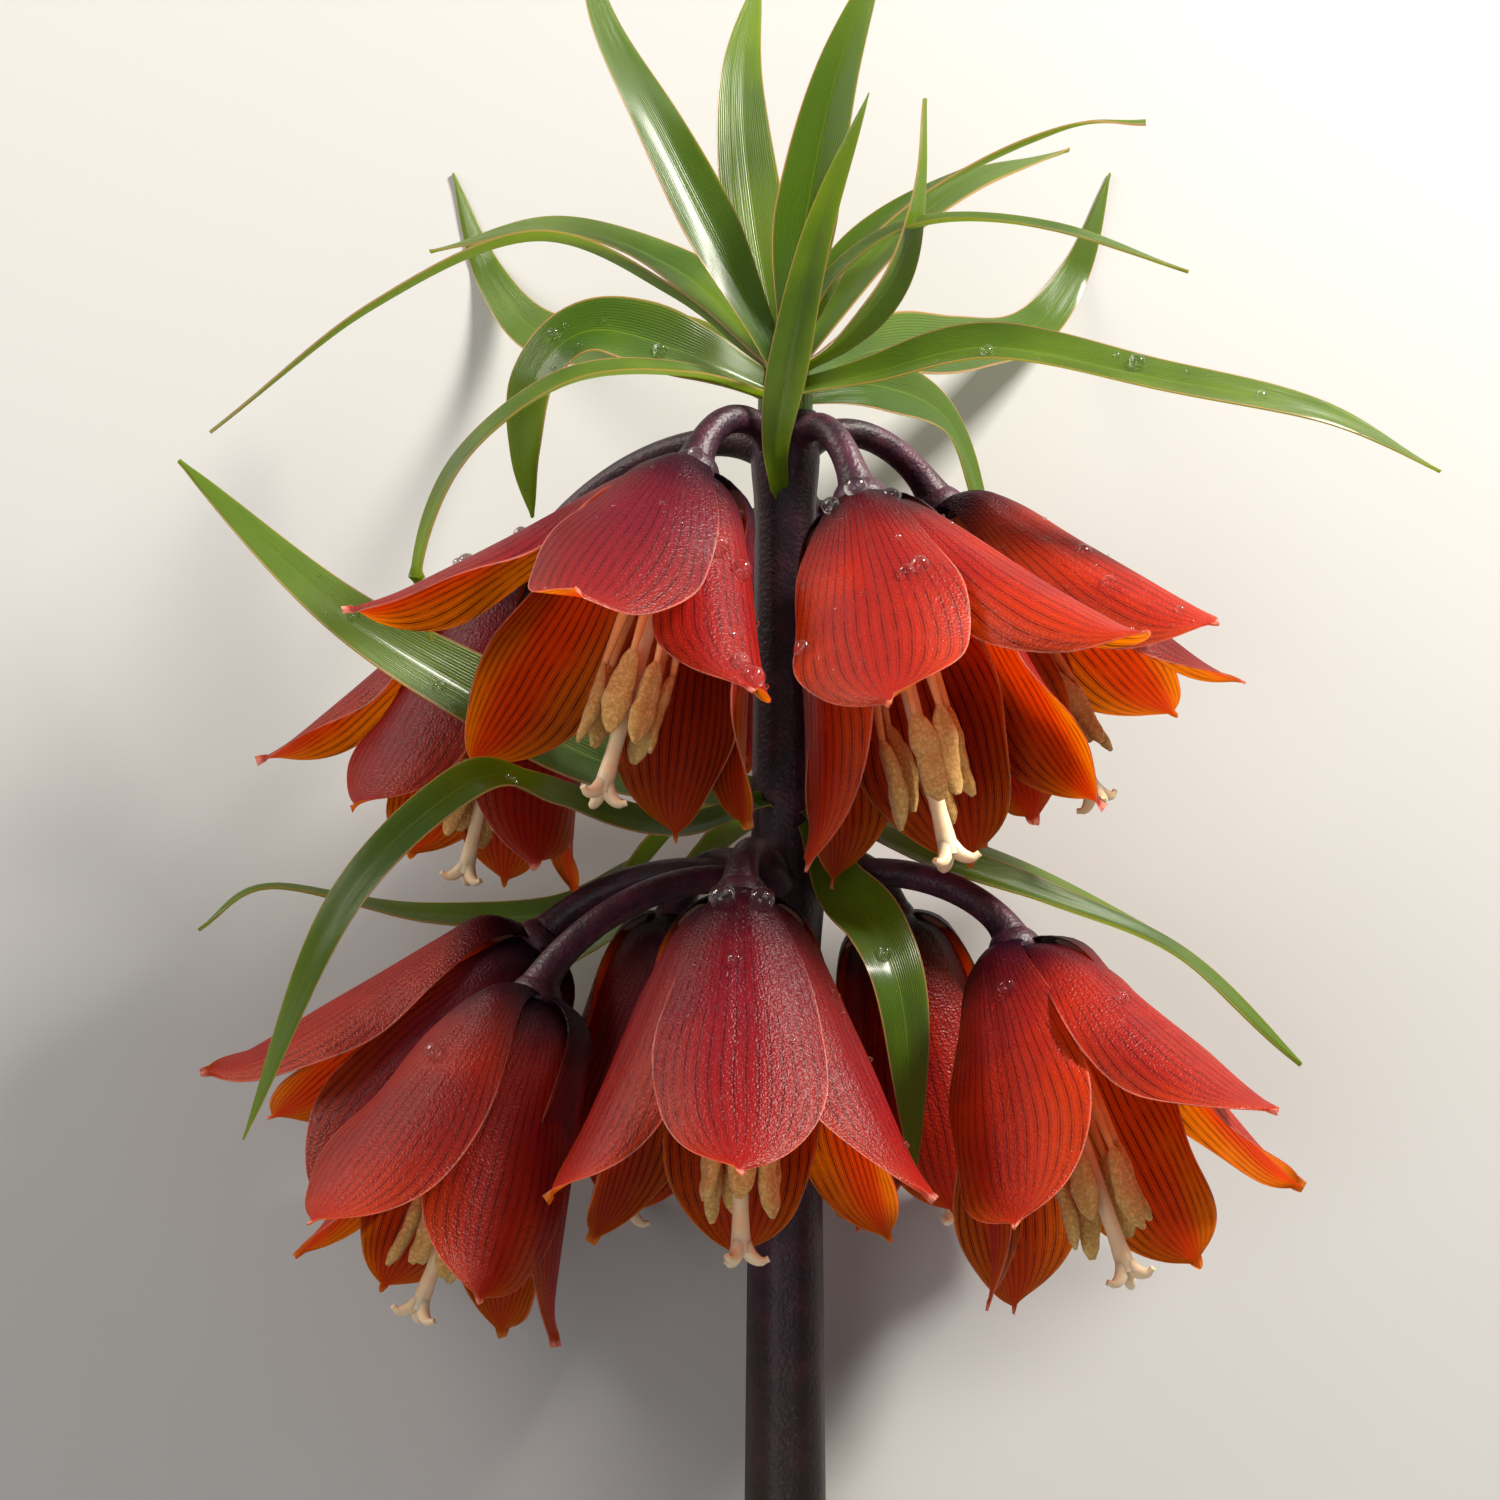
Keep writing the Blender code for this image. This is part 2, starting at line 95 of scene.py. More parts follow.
@dataclass(frozen=True)
class Placement:
    """Where the upright plant's frame lies in the row frame."""

    lean_deg: float = 15.0
    shift: tuple[float, float, float] = (-3.335, 69.09, 65.77)
    lowest: float = 0.05

    def turn(self) -> np.ndarray:
        """The plant's axes as the columns of a matrix in the row frame."""
        lean = math.radians(self.lean_deg)
        cos, sin = math.cos(lean), math.sin(lean)
        return np.array(((1, 0, 0), (0, cos, -sin), (0, sin, cos)))

    def rest(self, front: np.ndarray, back: np.ndarray) -> tuple[np.ndarray, np.ndarray]:
        """Lift what would sink into the surface, both sides of a plate alike.

        Args:
            front: A grid of points of the plant.
            back: The alike grid of the plate's other side.

        Returns:
            The two grids, clear of the surface.
        """
        lowest = np.minimum(self.to_row(front)[..., 2], self.to_row(back)[..., 2]) / MM
        lift = np.maximum(self.lowest - lowest, 0.0)[..., None] * self.turn()[2]
        return front + lift, back + lift

    def to_row(self, points: np.ndarray) -> np.ndarray:
        """Bring points of the plant to the row frame.

        Args:
            points: Points in millimetres, one a row.

        Returns:
            The points in metres.
        """
        return (np.asarray(points, float) @ self.turn().T + self.shift) * MM


PLACE = Placement()


def unit(vector: Point) -> np.ndarray:
    """The vector as an array of length 1."""
    vector = np.asarray(vector, float)
    return vector / np.linalg.norm(vector)


def smooth_step(x: Any) -> Any:
    """0 below 0, 1 above 1, and a smooth rise between, for a number or an array."""
    x = np.clip(x, 0.0, 1.0)
    return x * x * (3 - 2 * x)


def directions(turn_deg: float) -> tuple[np.ndarray, np.ndarray]:
    """The directions away from a bell's axis and round it, at this turn."""
    turn = math.radians(turn_deg)
    return np.array((math.cos(turn), math.sin(turn), 0.0)), np.array((-math.sin(turn), math.cos(turn), 0.0))


def straight_path(first: float, last: float, count: int) -> np.ndarray:
    """This many points at equal steps along Z."""
    return np.linspace((0.0, 0.0, first), (0.0, 0.0, last), count)


def curve_through(points: Sequence[Point], steps: int) -> np.ndarray:
    """Points at equal steps of a smooth curve.

    Args:
        points: The points that the curve goes through.
        steps: How many equal steps it is cut into.

    Returns:
        The steps + 1 points.
    """
    points = [np.asarray(p, float) for p in points]
    knots = [2 * points[0] - points[1]] + points + [2 * points[-1] - points[-2]]
    fine = []
    for a, b, c, d in zip(knots, knots[1:], knots[2:], knots[3:]):
        for t in np.arange(0, 1, 1 / 24):
            bent = (c - a) * t + (2 * a - 5 * b + 4 * c - d) * t**2 + (3 * b - a - 3 * c + d) * t**3
            fine.append(b + bent / 2)
    fine.append(points[-1])
    lengths = np.concatenate([[0], np.cumsum(np.linalg.norm(np.diff(fine, axis=0), axis=1))])
    wanted = np.linspace(0, lengths[-1], steps + 1)
    return np.stack([np.interp(wanted, lengths, [p[k] for p in fine]) for k in range(3)], axis=1)


class Form:
    """Collects closed bodies of faces, with texture coordinates and finishes, into one piece."""

    def __init__(self) -> None:
        """Start with no faces."""
        self.points: list[np.ndarray] = []
        self.faces: list[tuple[int, ...]] = []
        self.uvs: list[tuple[tuple[float, float], ...]] = []
        self.slots: list[int] = []
        self.tones: list[np.ndarray] = []
        self.count = 0

    def _add_points(self, points: np.ndarray, tone: float) -> int:
        """Add points with one tone, and return the number of the first."""
        start = self.count
        self.points.append(points)
        self.tones.append(np.full(len(points), tone))
        self.count += len(points)
        return start

    def _add_face(self, corners: Sequence[int], uvs: Sequence[tuple[float, float]], slot: int) -> None:
        """Add one face with its texture coordinates and its slot."""
        self.faces.append(tuple(corners))
        self.uvs.append(tuple(uvs))
        self.slots.append(slot)

    def add_plate(self, skin: Skin, tone: float = 0.5, slots: tuple[int, int] = (0, 1)) -> None:
        """Add a thin closed plate.

        Args:
            skin: Its two sides, rows along the plate and columns across it.
            tone: A number from 0 to 1 that varies its colour.
            slots: The finishes of the front and of the back.
        """
        rows, columns = skin.front.shape[:2]
        front, back = PLACE.rest(skin.front, skin.back)
        start = self._add_points(np.concatenate([front.reshape(-1, 3), back.reshape(-1, 3)]), tone)
        far = rows * columns

        def uv(index: int) -> tuple[float, float]:
            """The texture coordinates of a point of the grid."""
            return (index % columns) / (columns - 1), float(skin.shares[index // columns])

        for i in range(rows - 1):
            for j in range(columns - 1):
                a = i * columns + j
                corners = (a, a + 1, a + columns + 1, a + columns)
                places = [uv(n) for n in corners]
                self._add_face([start + n for n in corners], places, slots[0])
                self._add_face([start + far + n for n in reversed(corners)], places[::-1], slots[1])
        rim = list(range(columns))
        rim += [i * columns + columns - 1 for i in range(1, rows)]
        rim += [(rows - 1) * columns + j for j in range(columns - 2, -1, -1)]
        rim += [i * columns for i in range(rows - 2, 0, -1)]
        for here, there in zip(rim, rim[1:] + rim[:1]):
            corners = (start + here, start + there, start + far + there, start + far + here)
            self._add_face(corners, (uv(here), uv(there), uv(there), uv(here)), slots[0])

    def add_rings(self, rings: np.ndarray, tone: float = 0.5, slot: int = 0,
                  caps: tuple[int, int] | None = None) -> None:
        """Add a closed body of rings of points, one ring a row.

        Args:
            rings: The rings, each with the same number of points.
            tone: A number from 0 to 1 that varies its colour.
            slot: The finish of its wall.
            caps: The finishes of its two ends, if they differ from the wall.
        """
        count, sides = rings.shape[:2]
        start = self._add_points(rings.reshape(-1, 3), tone)
        for i in range(count - 1):
            low, high = i / (count - 1), (i + 1) / (count - 1)
            for j in range(sides):
                k = (j + 1) % sides
                corners = [start + i * sides + j, start + i * sides + k]
                corners += [start + (i + 1) * sides + k, start + (i + 1) * sides + j]
                left, right = j / sides, (j + 1) / sides
                self._add_face(corners, ((left, low), (right, low), (right, high), (left, high)), slot)
        first, last = caps or (slot, slot)
        turns = [2 * math.pi * j / sides for j in range(sides)]
        circle = [(0.5 + 0.5 * math.cos(t), 0.5 + 0.5 * math.sin(t)) for t in turns]
        self._add_face([start + j for j in range(sides)], circle, first)
        end = start + (count - 1) * sides
        self._add_face([end + j for j in range(sides)], circle, last)

    def make(self, name: str, finishes: Sequence[Material]) -> Piece:
        """Make the piece in the row frame.

        Args:
            name: The piece's name.
            finishes: Its materials, in the order of the slots.

        Returns:
            The new object, with its normals facing out and smooth shading.
        """
        points = PLACE.to_row(np.concatenate(self.points))
        points[:, 2] = np.maximum(points[:, 2], PLACE.lowest * MM)
        mesh = bpy.data.meshes.new(name)
        mesh.from_pydata(points.tolist(), [], self.faces)
        layer = mesh.uv_layers.new(name="along")
        layer.data.foreach_set("uv", [c for face in self.uvs for place in face for c in place])
        mesh.polygons.foreach_set("material_index", self.slots)
        tone = mesh.attributes.new("tone", "FLOAT", "POINT")
        tone.data.foreach_set("value", np.concatenate(self.tones))
        for finish in finishes:
            mesh.materials.append(finish)
        shell = bmesh.new()
        shell.from_mesh(mesh)
        bmesh.ops.recalc_face_normals(shell, faces=shell.faces)
        shell.to_mesh(mesh)
        shell.free()
        mesh.shade_smooth()
        mesh.set_sharp_from_angle(angle=math.radians(SMOOTH_DEG))
        piece = bpy.data.objects.new(name, mesh)
        bpy.context.scene.collection.objects.link(piece)
        return piece


def rings_along(path: np.ndarray, radii: Iterable[float], sides: int, profile: np.ndarray | None = None,
                start_side: Point = (0.31, 0.17, 0.93)) -> np.ndarray:
    """Rings of points round a path.

    Args:
        path: The path's points, one a row.
        radii: One radius for each of them.
        sides: How many points a ring has.
        profile: The ring's shape, as points (across, up) at a radius of 1, if it isn't round.
        start_side: A direction that the first ring's first point is turned towards.

    Returns:
        The rings, as an array of ring by point by coordinate.
    """
    if profile is None:
        turns = np.arange(sides) * 2 * math.pi / sides
        profile = np.stack([np.cos(turns), np.sin(turns)], axis=1)
    along = np.gradient(path, axis=0)
    side = np.asarray(start_side, float)
    rings = []
    for direction, centre, radius in zip(along, path, radii):
        direction = unit(direction)
        side = unit(side - direction * np.dot(side, direction))
        other = np.cross(direction, side)
        rings.append(centre + radius * (profile[:, :1] * side + profile[:, 1:] * other))
    return np.array(rings)


class Graph:
    """Makes the nodes of one material."""

    def __init__(self, name: str) -> None:
        """Start a material that has only its output."""
        self.material = bpy.data.materials.new(name)
        self.material.use_nodes = True
        self.tree = self.material.node_tree
        self.tree.nodes.clear()
        self.output = self.tree.nodes.new("ShaderNodeOutputMaterial")

    def node(self, kind: str, inputs: dict[Any, Any], **settings: Any) -> bpy.types.Node:
        """Make a node.

        Args:
            kind: Its type in Blender.
            inputs: A value or another node's socket for each input that is set.
            **settings: The node's own settings.

        Returns:
            The node.
        """
        made = self.tree.nodes.new(kind)
        for key, value in settings.items():
            setattr(made, key, value)
        for key, value in inputs.items():
            if isinstance(value, Socket):
                self.tree.links.new(value, made.inputs[key])
            else:
                made.inputs[key].default_value = value
        return made

    def math(self, operation: str, a: Any, b: Any = 0.0, c: Any = 0.0) -> Socket:
        """The result of one sum."""
        return self.node("ShaderNodeMath", {0: a, 1: b, 2: c}, operation=operation).outputs[0]

    def times(self, a: Any, b: Any) -> Socket:
        """The product of two numbers."""
        return self.math("MULTIPLY", a, b)

    def off_middle(self, value: Any) -> Socket:
        """How far a number is from a half."""
        return self.math("ABSOLUTE", self.math("SUBTRACT", value, 0.5))

    def wobble(self, noise: Any, reach: float) -> Socket:
        """Noise moved to lie round 0 and scaled to this reach."""
        return self.times(self.math("SUBTRACT", noise, 0.5), reach)

    def fade(self, value: Any, low: float, high: float, start: float = 0.0, end: float = 1.0) -> Socket:
        """A smooth change from start, where the value is low, to end, where it is high."""
        inputs = {"Value": value, "From Min": low, "From Max": high, "To Min": start, "To Max": end}
        return self.node("ShaderNodeMapRange", inputs, interpolation_type="SMOOTHSTEP").outputs[0]

    def blend(self, factor: Any, a: Any, b: Any, mode: str = "MIX") -> Socket:
        """Colour a where the factor is 0 and b where it is 1."""
        a, b = (v if isinstance(v, Socket) else (*v, 1.0) for v in (a, b))
        made = self.node("ShaderNodeMix", {0: factor, 6: a, 7: b}, data_type="RGBA", blend_type=mode)
        return made.outputs[2]

    def noise(self, vector: Any, scale: float, detail: float = 3.0, roughness: float = 0.55) -> Socket:
        """Noise from 0 to 1."""
        inputs = {"Vector": vector, "Scale": scale, "Detail": detail, "Roughness": roughness}
        return self.node("ShaderNodeTexNoise", inputs).outputs["Fac"]

    def lines(self, phase: Any, width: float) -> Socket:
        """1 on the middle of a thin line at each whole number and a half of the phase, and 0 between."""
        return self.fade(self.off_middle(self.math("FRACT", phase)), 0.0, width, 1.0, 0.0)

    def place(self) -> Socket:
        """The place in the object's own frame."""
        return self.node("ShaderNodeTexCoord", {}).outputs["Object"]

    def along(self) -> tuple[Socket, Socket, Socket]:
        """The texture coordinates as a vector, the place across and the place along."""
        vector = self.node("ShaderNodeUVMap", {}, uv_map="along").outputs[0]
        parts = self.node("ShaderNodeSeparateXYZ", {0: vector})
        return vector, parts.outputs[0], parts.outputs[1]

    def tone(self) -> Socket:
        """The number that varies the colour from one leaf or petal to the next."""
        return self.node("ShaderNodeAttribute", {}, attribute_name="tone").outputs["Fac"]

    def bump(self, height: Any, strength: float, distance: float) -> Socket:
        """A normal that shows this height as relief."""
        inputs = {"Height": height, "Strength": strength, "Distance": distance}
        return self.node("ShaderNodeBump", inputs).outputs[0]

    def mix(self, share: float, a: bpy.types.Node, b: bpy.types.Node) -> bpy.types.Node:
        """Shader a with this share of shader b."""
        return self.node("ShaderNodeMixShader", {0: share, 1: a.outputs[0], 2: b.outputs[0]})

    def surface(self, shader: bpy.types.Node) -> Material:
        """Finish the material with this shader."""
        self.tree.links.new(shader.outputs[0], self.output.inputs["Surface"])
        return self.material

    def thin(self, shader: bpy.types.Node, glow: Socket, normal: Socket, share: float) -> Material:
        """Finish the material with this shader and a share of light that shines through it."""
        through = self.node("ShaderNodeBsdfTranslucent", {"Color": glow, "Normal": normal})
        return self.surface(self.mix(share, shader, through))


@dataclass(frozen=True)
class PetalFinish:
    """A petal's skin, with veins that fan out from its base.

    Light shines through it, so it is a mix of a skin that reflects and one that glows from behind.
    """

    name: str
    base: Colour
    middle: Colour
    tip: Colour
    flush: Colour
    vein: Colour
    glow: Colour
    # The rim colour is painted edge light, a highlight and glow painted along the edges and the tip; the two
    # rim fields below set how far in it reaches.
    rim: Colour
    rim_glow: Colour
    glow_share: float
    vein_depth: float
    roughness: float
    nectary: bool
    painted_rim_from: float
    painted_rim_share: float
    vein_relief: float
    veins: float = 21.0
    vein_width: float = 0.15
    cell_scale: float = 2200.0
    specular: float = 0.26
    relief: float = 0.0005
    size: tuple[float, float] = (10.6, 58.0)
    nectary_place: float = 0.1
    nectary_ring: Colour = (0.03, 0.003, 0.008)
    nectary_drop: Colour = (0.80, 0.77, 0.66)

    def vein_mask(self, g: Graph, across: Socket, along: Socket, place: Socket) -> Socket:
        """1 on the veins and 0 between: main ones that run out to the edges, and finer ones between them."""
        spread = g.times(g.fade(along, 0.0, 1.1, 1.0, 0.55), self.veins)
        fan = g.times(g.math("SUBTRACT", across, 0.5), spread)
        fan = g.math("ADD", fan, g.wobble(g.noise(place, 60.0, 1.0), 0.9))
        broken = g.fade(g.noise(place, 300.0, 0.0), 0.25, 0.55, 0.45, 1.0)
        main = g.times(g.lines(fan, self.vein_width), broken)
        finer = g.times(g.lines(g.times(fan, 2.0), 0.16), g.fade(along, 0.3, 0.75, 0.0, 0.5))
        return g.times(g.math("MAXIMUM", main, finer), g.fade(along, 1.0, 0.8, 0.4, 1.0))

    def with_nectary(self, g: Graph, skin: Socket, across: Socket, along: Socket) -> Socket:
        """The skin's colour with the pale nectary in its dark ring, near the petal's base."""
        x = g.times(g.math("SUBTRACT", across, 0.5), self.size[0])
        y = g.times(g.math("SUBTRACT", along, self.nectary_place), self.size[1])
        away = g.math("SQRT", g.math("ADD", g.times(x, x), g.times(y, y)))
        skin = g.blend(g.fade(away, 3.8, 2.9), skin, self.nectary_ring)
        return g.blend(g.fade(away, 2.5, 2.0), skin, self.nectary_drop)

    def make(self) -> Material:
        """The material."""
        g = Graph(self.name)
        _, across, along = g.along()
        place = g.place()
        veins = self.vein_mask(g, across, along, place)
        veined = g.times(veins, self.vein_depth)
        broad = g.noise(place, 55.0, 2.0)
        cells = g.noise(place, self.cell_scale, 1.0, 0.7)
        skin = g.blend(g.fade(along, 0.35, 1.0), self.middle, self.tip)
        flushed = g.times(g.fade(g.tone(), 0.25, 0.75), g.fade(broad, 0.3, 0.7, 0.45, 1.0))
        skin = g.blend(flushed, skin, self.flush)
        ragged = g.math("ADD", g.wobble(g.noise(place, 160.0, 1.0), 0.08), along)
        skin = g.blend(g.fade(g.math("MULTIPLY_ADD", veins, -0.08, ragged), 0.38, 0.03), skin, self.base)
        skin = g.blend(g.fade(cells, 0.45, 0.8, 0.0, 0.3), skin, self.vein)
        skin = g.blend(veined, skin, self.vein)
        edge = g.off_middle(across)
        # Painted edge light: the edges and the very tip are painted paler, a pinkish-white highlight on the
        # outside and an orange-yellow glow on the inside, for light that catches the thin rims.
        painted_rim_light = g.times(g.fade(edge, self.painted_rim_from, 0.5), g.fade(along, 0.15, 0.5, 0.0, self.painted_rim_share))
        painted_rim_light = g.math("MAXIMUM", painted_rim_light, g.fade(along, 0.975, 0.995, 0.0, 0.8))
        skin = g.blend(painted_rim_light, skin, self.rim)
        if self.nectary:
            skin = self.with_nectary(g, skin, across, along)
        patchy = g.math("ADD", edge, g.wobble(broad, 0.35))
        glow = g.blend(g.fade(patchy, 0.1, 0.42, 0.0, 0.95), self.glow, self.rim_glow)
        glow = g.blend(veined, glow, self.vein)
        glow = g.blend(g.fade(along, 0.28, 0.05), glow, self.base)
        normal = g.bump(g.math("MULTIPLY_ADD", veins, self.vein_relief, cells), 0.5, self.relief)
        surface = g.node("ShaderNodeBsdfPrincipled", {
            "Base Color": skin,
            "Roughness": self.roughness,
            "Specular IOR Level": self.specular,
            "Normal": normal,
        })
        return g.thin(surface, glow, normal, self.glow_share)


@dataclass(frozen=True)
class LeafFinish:
    """A leaf's skin, with parallel veins, a paler midrib and a thin pink margin."""

    name: str
    colour: Colour
    young: Colour
    vein: Colour
    roughness: float
    coat: float
    glow: Colour = (0.60, 0.74, 0.03)
    margin: Colour = (0.58, 0.20, 0.15)
    veins: float = 26.0
    streak_scale: Colour = (60.0, 3.0, 1.0)
    specular: float = 0.35
    glow_share: float = 0.48
    relief: float = 0.0005

    def make(self) -> Material:
        """The material."""
        g = Graph(self.name)
        vector, across, along = g.along()
        stretched = g.node("ShaderNodeMapping", {"Vector": vector, "Scale": self.streak_scale}).outputs[0]
        streaks = g.noise(stretched, 1.0, 2.0)
        veins = g.lines(g.times(across, self.veins), 0.3)
        patches = g.noise(g.place(), 45.0, 2.0)
        skin = g.blend(g.times(g.tone(), g.fade(patches, 0.25, 0.7)), self.colour, self.young)
        skin = g.blend(g.fade(along, 0.55, 1.05, 0.0, 0.55), skin, self.young)
        skin = g.blend(g.times(veins, 0.4), skin, self.vein)
        skin = g.blend(g.times(streaks, 0.35), skin, self.vein)
        edge = g.off_middle(across)
        skin = g.blend(g.fade(edge, 0.022, 0.004, 0.0, 0.5), skin, self.young)
        skin = g.blend(g.fade(edge, 0.465, 0.49, 0.0, 0.85), skin, self.margin)
        glow = g.blend(g.times(veins, 0.35), self.glow, self.vein)
        height = g.math("MULTIPLY_ADD", veins, -0.5, g.times(streaks, 0.5))
        normal = g.bump(height, 0.35, self.relief)
        surface = g.node("ShaderNodeBsdfPrincipled", {
            "Base Color": skin,
            "Roughness": self.roughness,
            "Specular IOR Level": self.specular,
            "Coat Weight": self.coat,
            "Coat Roughness": 0.18,
            "Normal": normal,
        })
        return g.thin(surface, glow, normal, self.glow_share)


@dataclass(frozen=True)
class StemFinish:
    """The dark, finely textured skin of the stem and its stalks, greener at the foot if it has one."""

    name: str
    colour: Colour
    patch: Colour
    foot: Colour | None = None
    foot_reach: float = 0.45
    bloom: Colour = (0.20, 0.10, 0.14)

    def make(self) -> Material:
        """The material."""
        g = Graph(self.name)
        place = g.place()
        patches = g.noise(place, 220.0, 3.0)
        skin = g.blend(g.fade(patches, 0.35, 0.75), self.colour, self.patch)
        if self.foot:
            _, _, along = g.along()
            skin = g.blend(g.fade(along, self.foot_reach, 0.0), skin, self.foot)
        grain = g.noise(place, 1500.0, 1.0)
        skin = g.blend(g.fade(grain, 0.6, 0.8, 0.0, 0.18), skin, self.bloom)
        surface = g.node("ShaderNodeBsdfPrincipled", {
            "Base Color": skin,
            "Roughness": 0.48,
            "Specular IOR Level": 0.35,
            "Normal": g.bump(g.math("ADD", patches, grain), 0.4, 0.0004),
        })
        return g.surface(surface)


@dataclass(frozen=True)
class FleshFinish:
    """Soft pale flesh: the filaments, the pistil, the pollen of the anthers and the stem's cut face."""

    name: str
    colour: Colour
    spot: Colour
    grain: float
    relief: float
    roughness: float
    under: float

    def make(self) -> Material:
        """The material."""
        g = Graph(self.name)
        place = g.place()
        grain = g.noise(place, self.grain, 5.0, 0.65)
        broad = g.noise(place, self.grain * 0.2, 2.0)
        skin = g.blend(g.fade(grain, 0.42, 0.68), self.colour, self.spot)
        skin = g.blend(g.fade(broad, 0.45, 0.75, 0.0, 0.4), skin, self.spot)
        surface = g.node("ShaderNodeBsdfPrincipled", {
            "Base Color": skin,
            "Roughness": self.roughness,
            "Subsurface Weight": self.under,
            "Subsurface Radius": (0.6, 0.35, 0.15),
            "Subsurface Scale": 0.002,
            "Sheen Weight": 0.15,
            "Normal": g.bump(grain, self.relief, 0.0005),
        })
        return g.surface(surface)


@dataclass(frozen=True)
class WaterFinish:
    """Clear water, for the drops. Part of the light goes straight through, so that a drop casts no shade."""

    name: str = "clear_water"
    gloss: float = 0.02
    bending_share: float = 0.55

    def make(self) -> Material:
        """The material."""
        g = Graph(self.name)
        water = g.node("ShaderNodeBsdfPrincipled", {
            "Base Color": (1.0, 1.0, 1.0, 1.0),
            "Roughness": self.gloss,
            "IOR": 1.33,
            "Transmission Weight": 1.0,
            "Coat Weight": 1.0,
            "Coat Roughness": self.gloss,
        })
        clear = g.node("ShaderNodeBsdfTransparent", {"Color": (1.0, 1.0, 1.0, 1.0)})
        return g.surface(g.mix(self.bending_share, clear, water))


# The rim colours are painted edge light: a pinkish-white highlight on the outside and an orange-yellow glow
# on the inside.
PETAL_OUTSIDE = PetalFinish(
    "petal_outside", base=(0.016, 0.002, 0.012), middle=(0.095, 0.003, 0.020), tip=(0.26, 0.008, 0.012),
    flush=(0.50, 0.026, 0.004), vein=(0.014, 0.001, 0.003), glow=(0.90, 0.120, 0.012),
    rim=(0.86, 0.40, 0.30), rim_glow=(1.0, 0.30, 0.02), glow_share=0.5, vein_depth=0.65,
    roughness=0.34, nectary=False, painted_rim_from=0.485, painted_rim_share=0.5, vein_relief=-0.08)
PETAL_INSIDE = PetalFinish(
    "petal_inside", base=(0.06, 0.004, 0.005), middle=(0.36, 0.011, 0.004), tip=(0.56, 0.060, 0.004),
    flush=(0.64, 0.090, 0.003), vein=(0.030, 0.001, 0.002), glow=(1.0, 0.42, 0.008), rim=(0.95, 0.42, 0.08),
    rim_glow=(1.0, 0.78, 0.015), glow_share=0.66, vein_depth=0.85, roughness=0.40, nectary=True,
    painted_rim_from=0.47, painted_rim_share=0.8, vein_relief=-0.5)
LEAF_UPPER = LeafFinish("leaf_upper", colour=(0.026, 0.085, 0.010), young=(0.17, 0.26, 0.014),
                        vein=(0.012, 0.045, 0.006), roughness=0.28, coat=0.35)
LEAF_UNDER = LeafFinish("leaf_under", colour=(0.055, 0.12, 0.025), young=(0.19, 0.27, 0.03),
                        vein=(0.028, 0.07, 0.015), roughness=0.4, coat=0.15)
STEM_SKIN = StemFinish("stem_skin", (0.016, 0.005, 0.010), (0.050, 0.011, 0.024), foot=(0.055, 0.050, 0.016))
STALK_SKIN = StemFinish("stalk_skin", (0.018, 0.004, 0.011), (0.065, 0.011, 0.028))
CUT_FLESH = FleshFinish("cut_flesh", colour=(0.62, 0.66, 0.40), spot=(0.45, 0.52, 0.25), grain=700.0,
                        relief=0.5, roughness=0.35, under=0.3)
FILAMENT_FLESH = FleshFinish("filament_flesh", colour=(0.82, 0.42, 0.13), spot=(0.85, 0.55, 0.25),
                             grain=500.0, relief=0.15, roughness=0.4, under=0.35)
STYLE_FLESH = FleshFinish("style_flesh", colour=(0.88, 0.70, 0.45), spot=(0.88, 0.62, 0.36), grain=500.0,
                          relief=0.15, roughness=0.35, under=0.4)
POLLEN = FleshFinish("pollen", colour=(0.60, 0.35, 0.08), spot=(0.86, 0.60, 0.22), grain=1600.0,
                     relief=0.9, roughness=0.85, under=0.1)


@dataclass(frozen=True)
class Finishes:
    """Every material of the plant, made once."""

    petal: list[Material]
    leaf: list[Material]
    stem: list[Material]
    stamen: list[Material]
    water: list[Material]


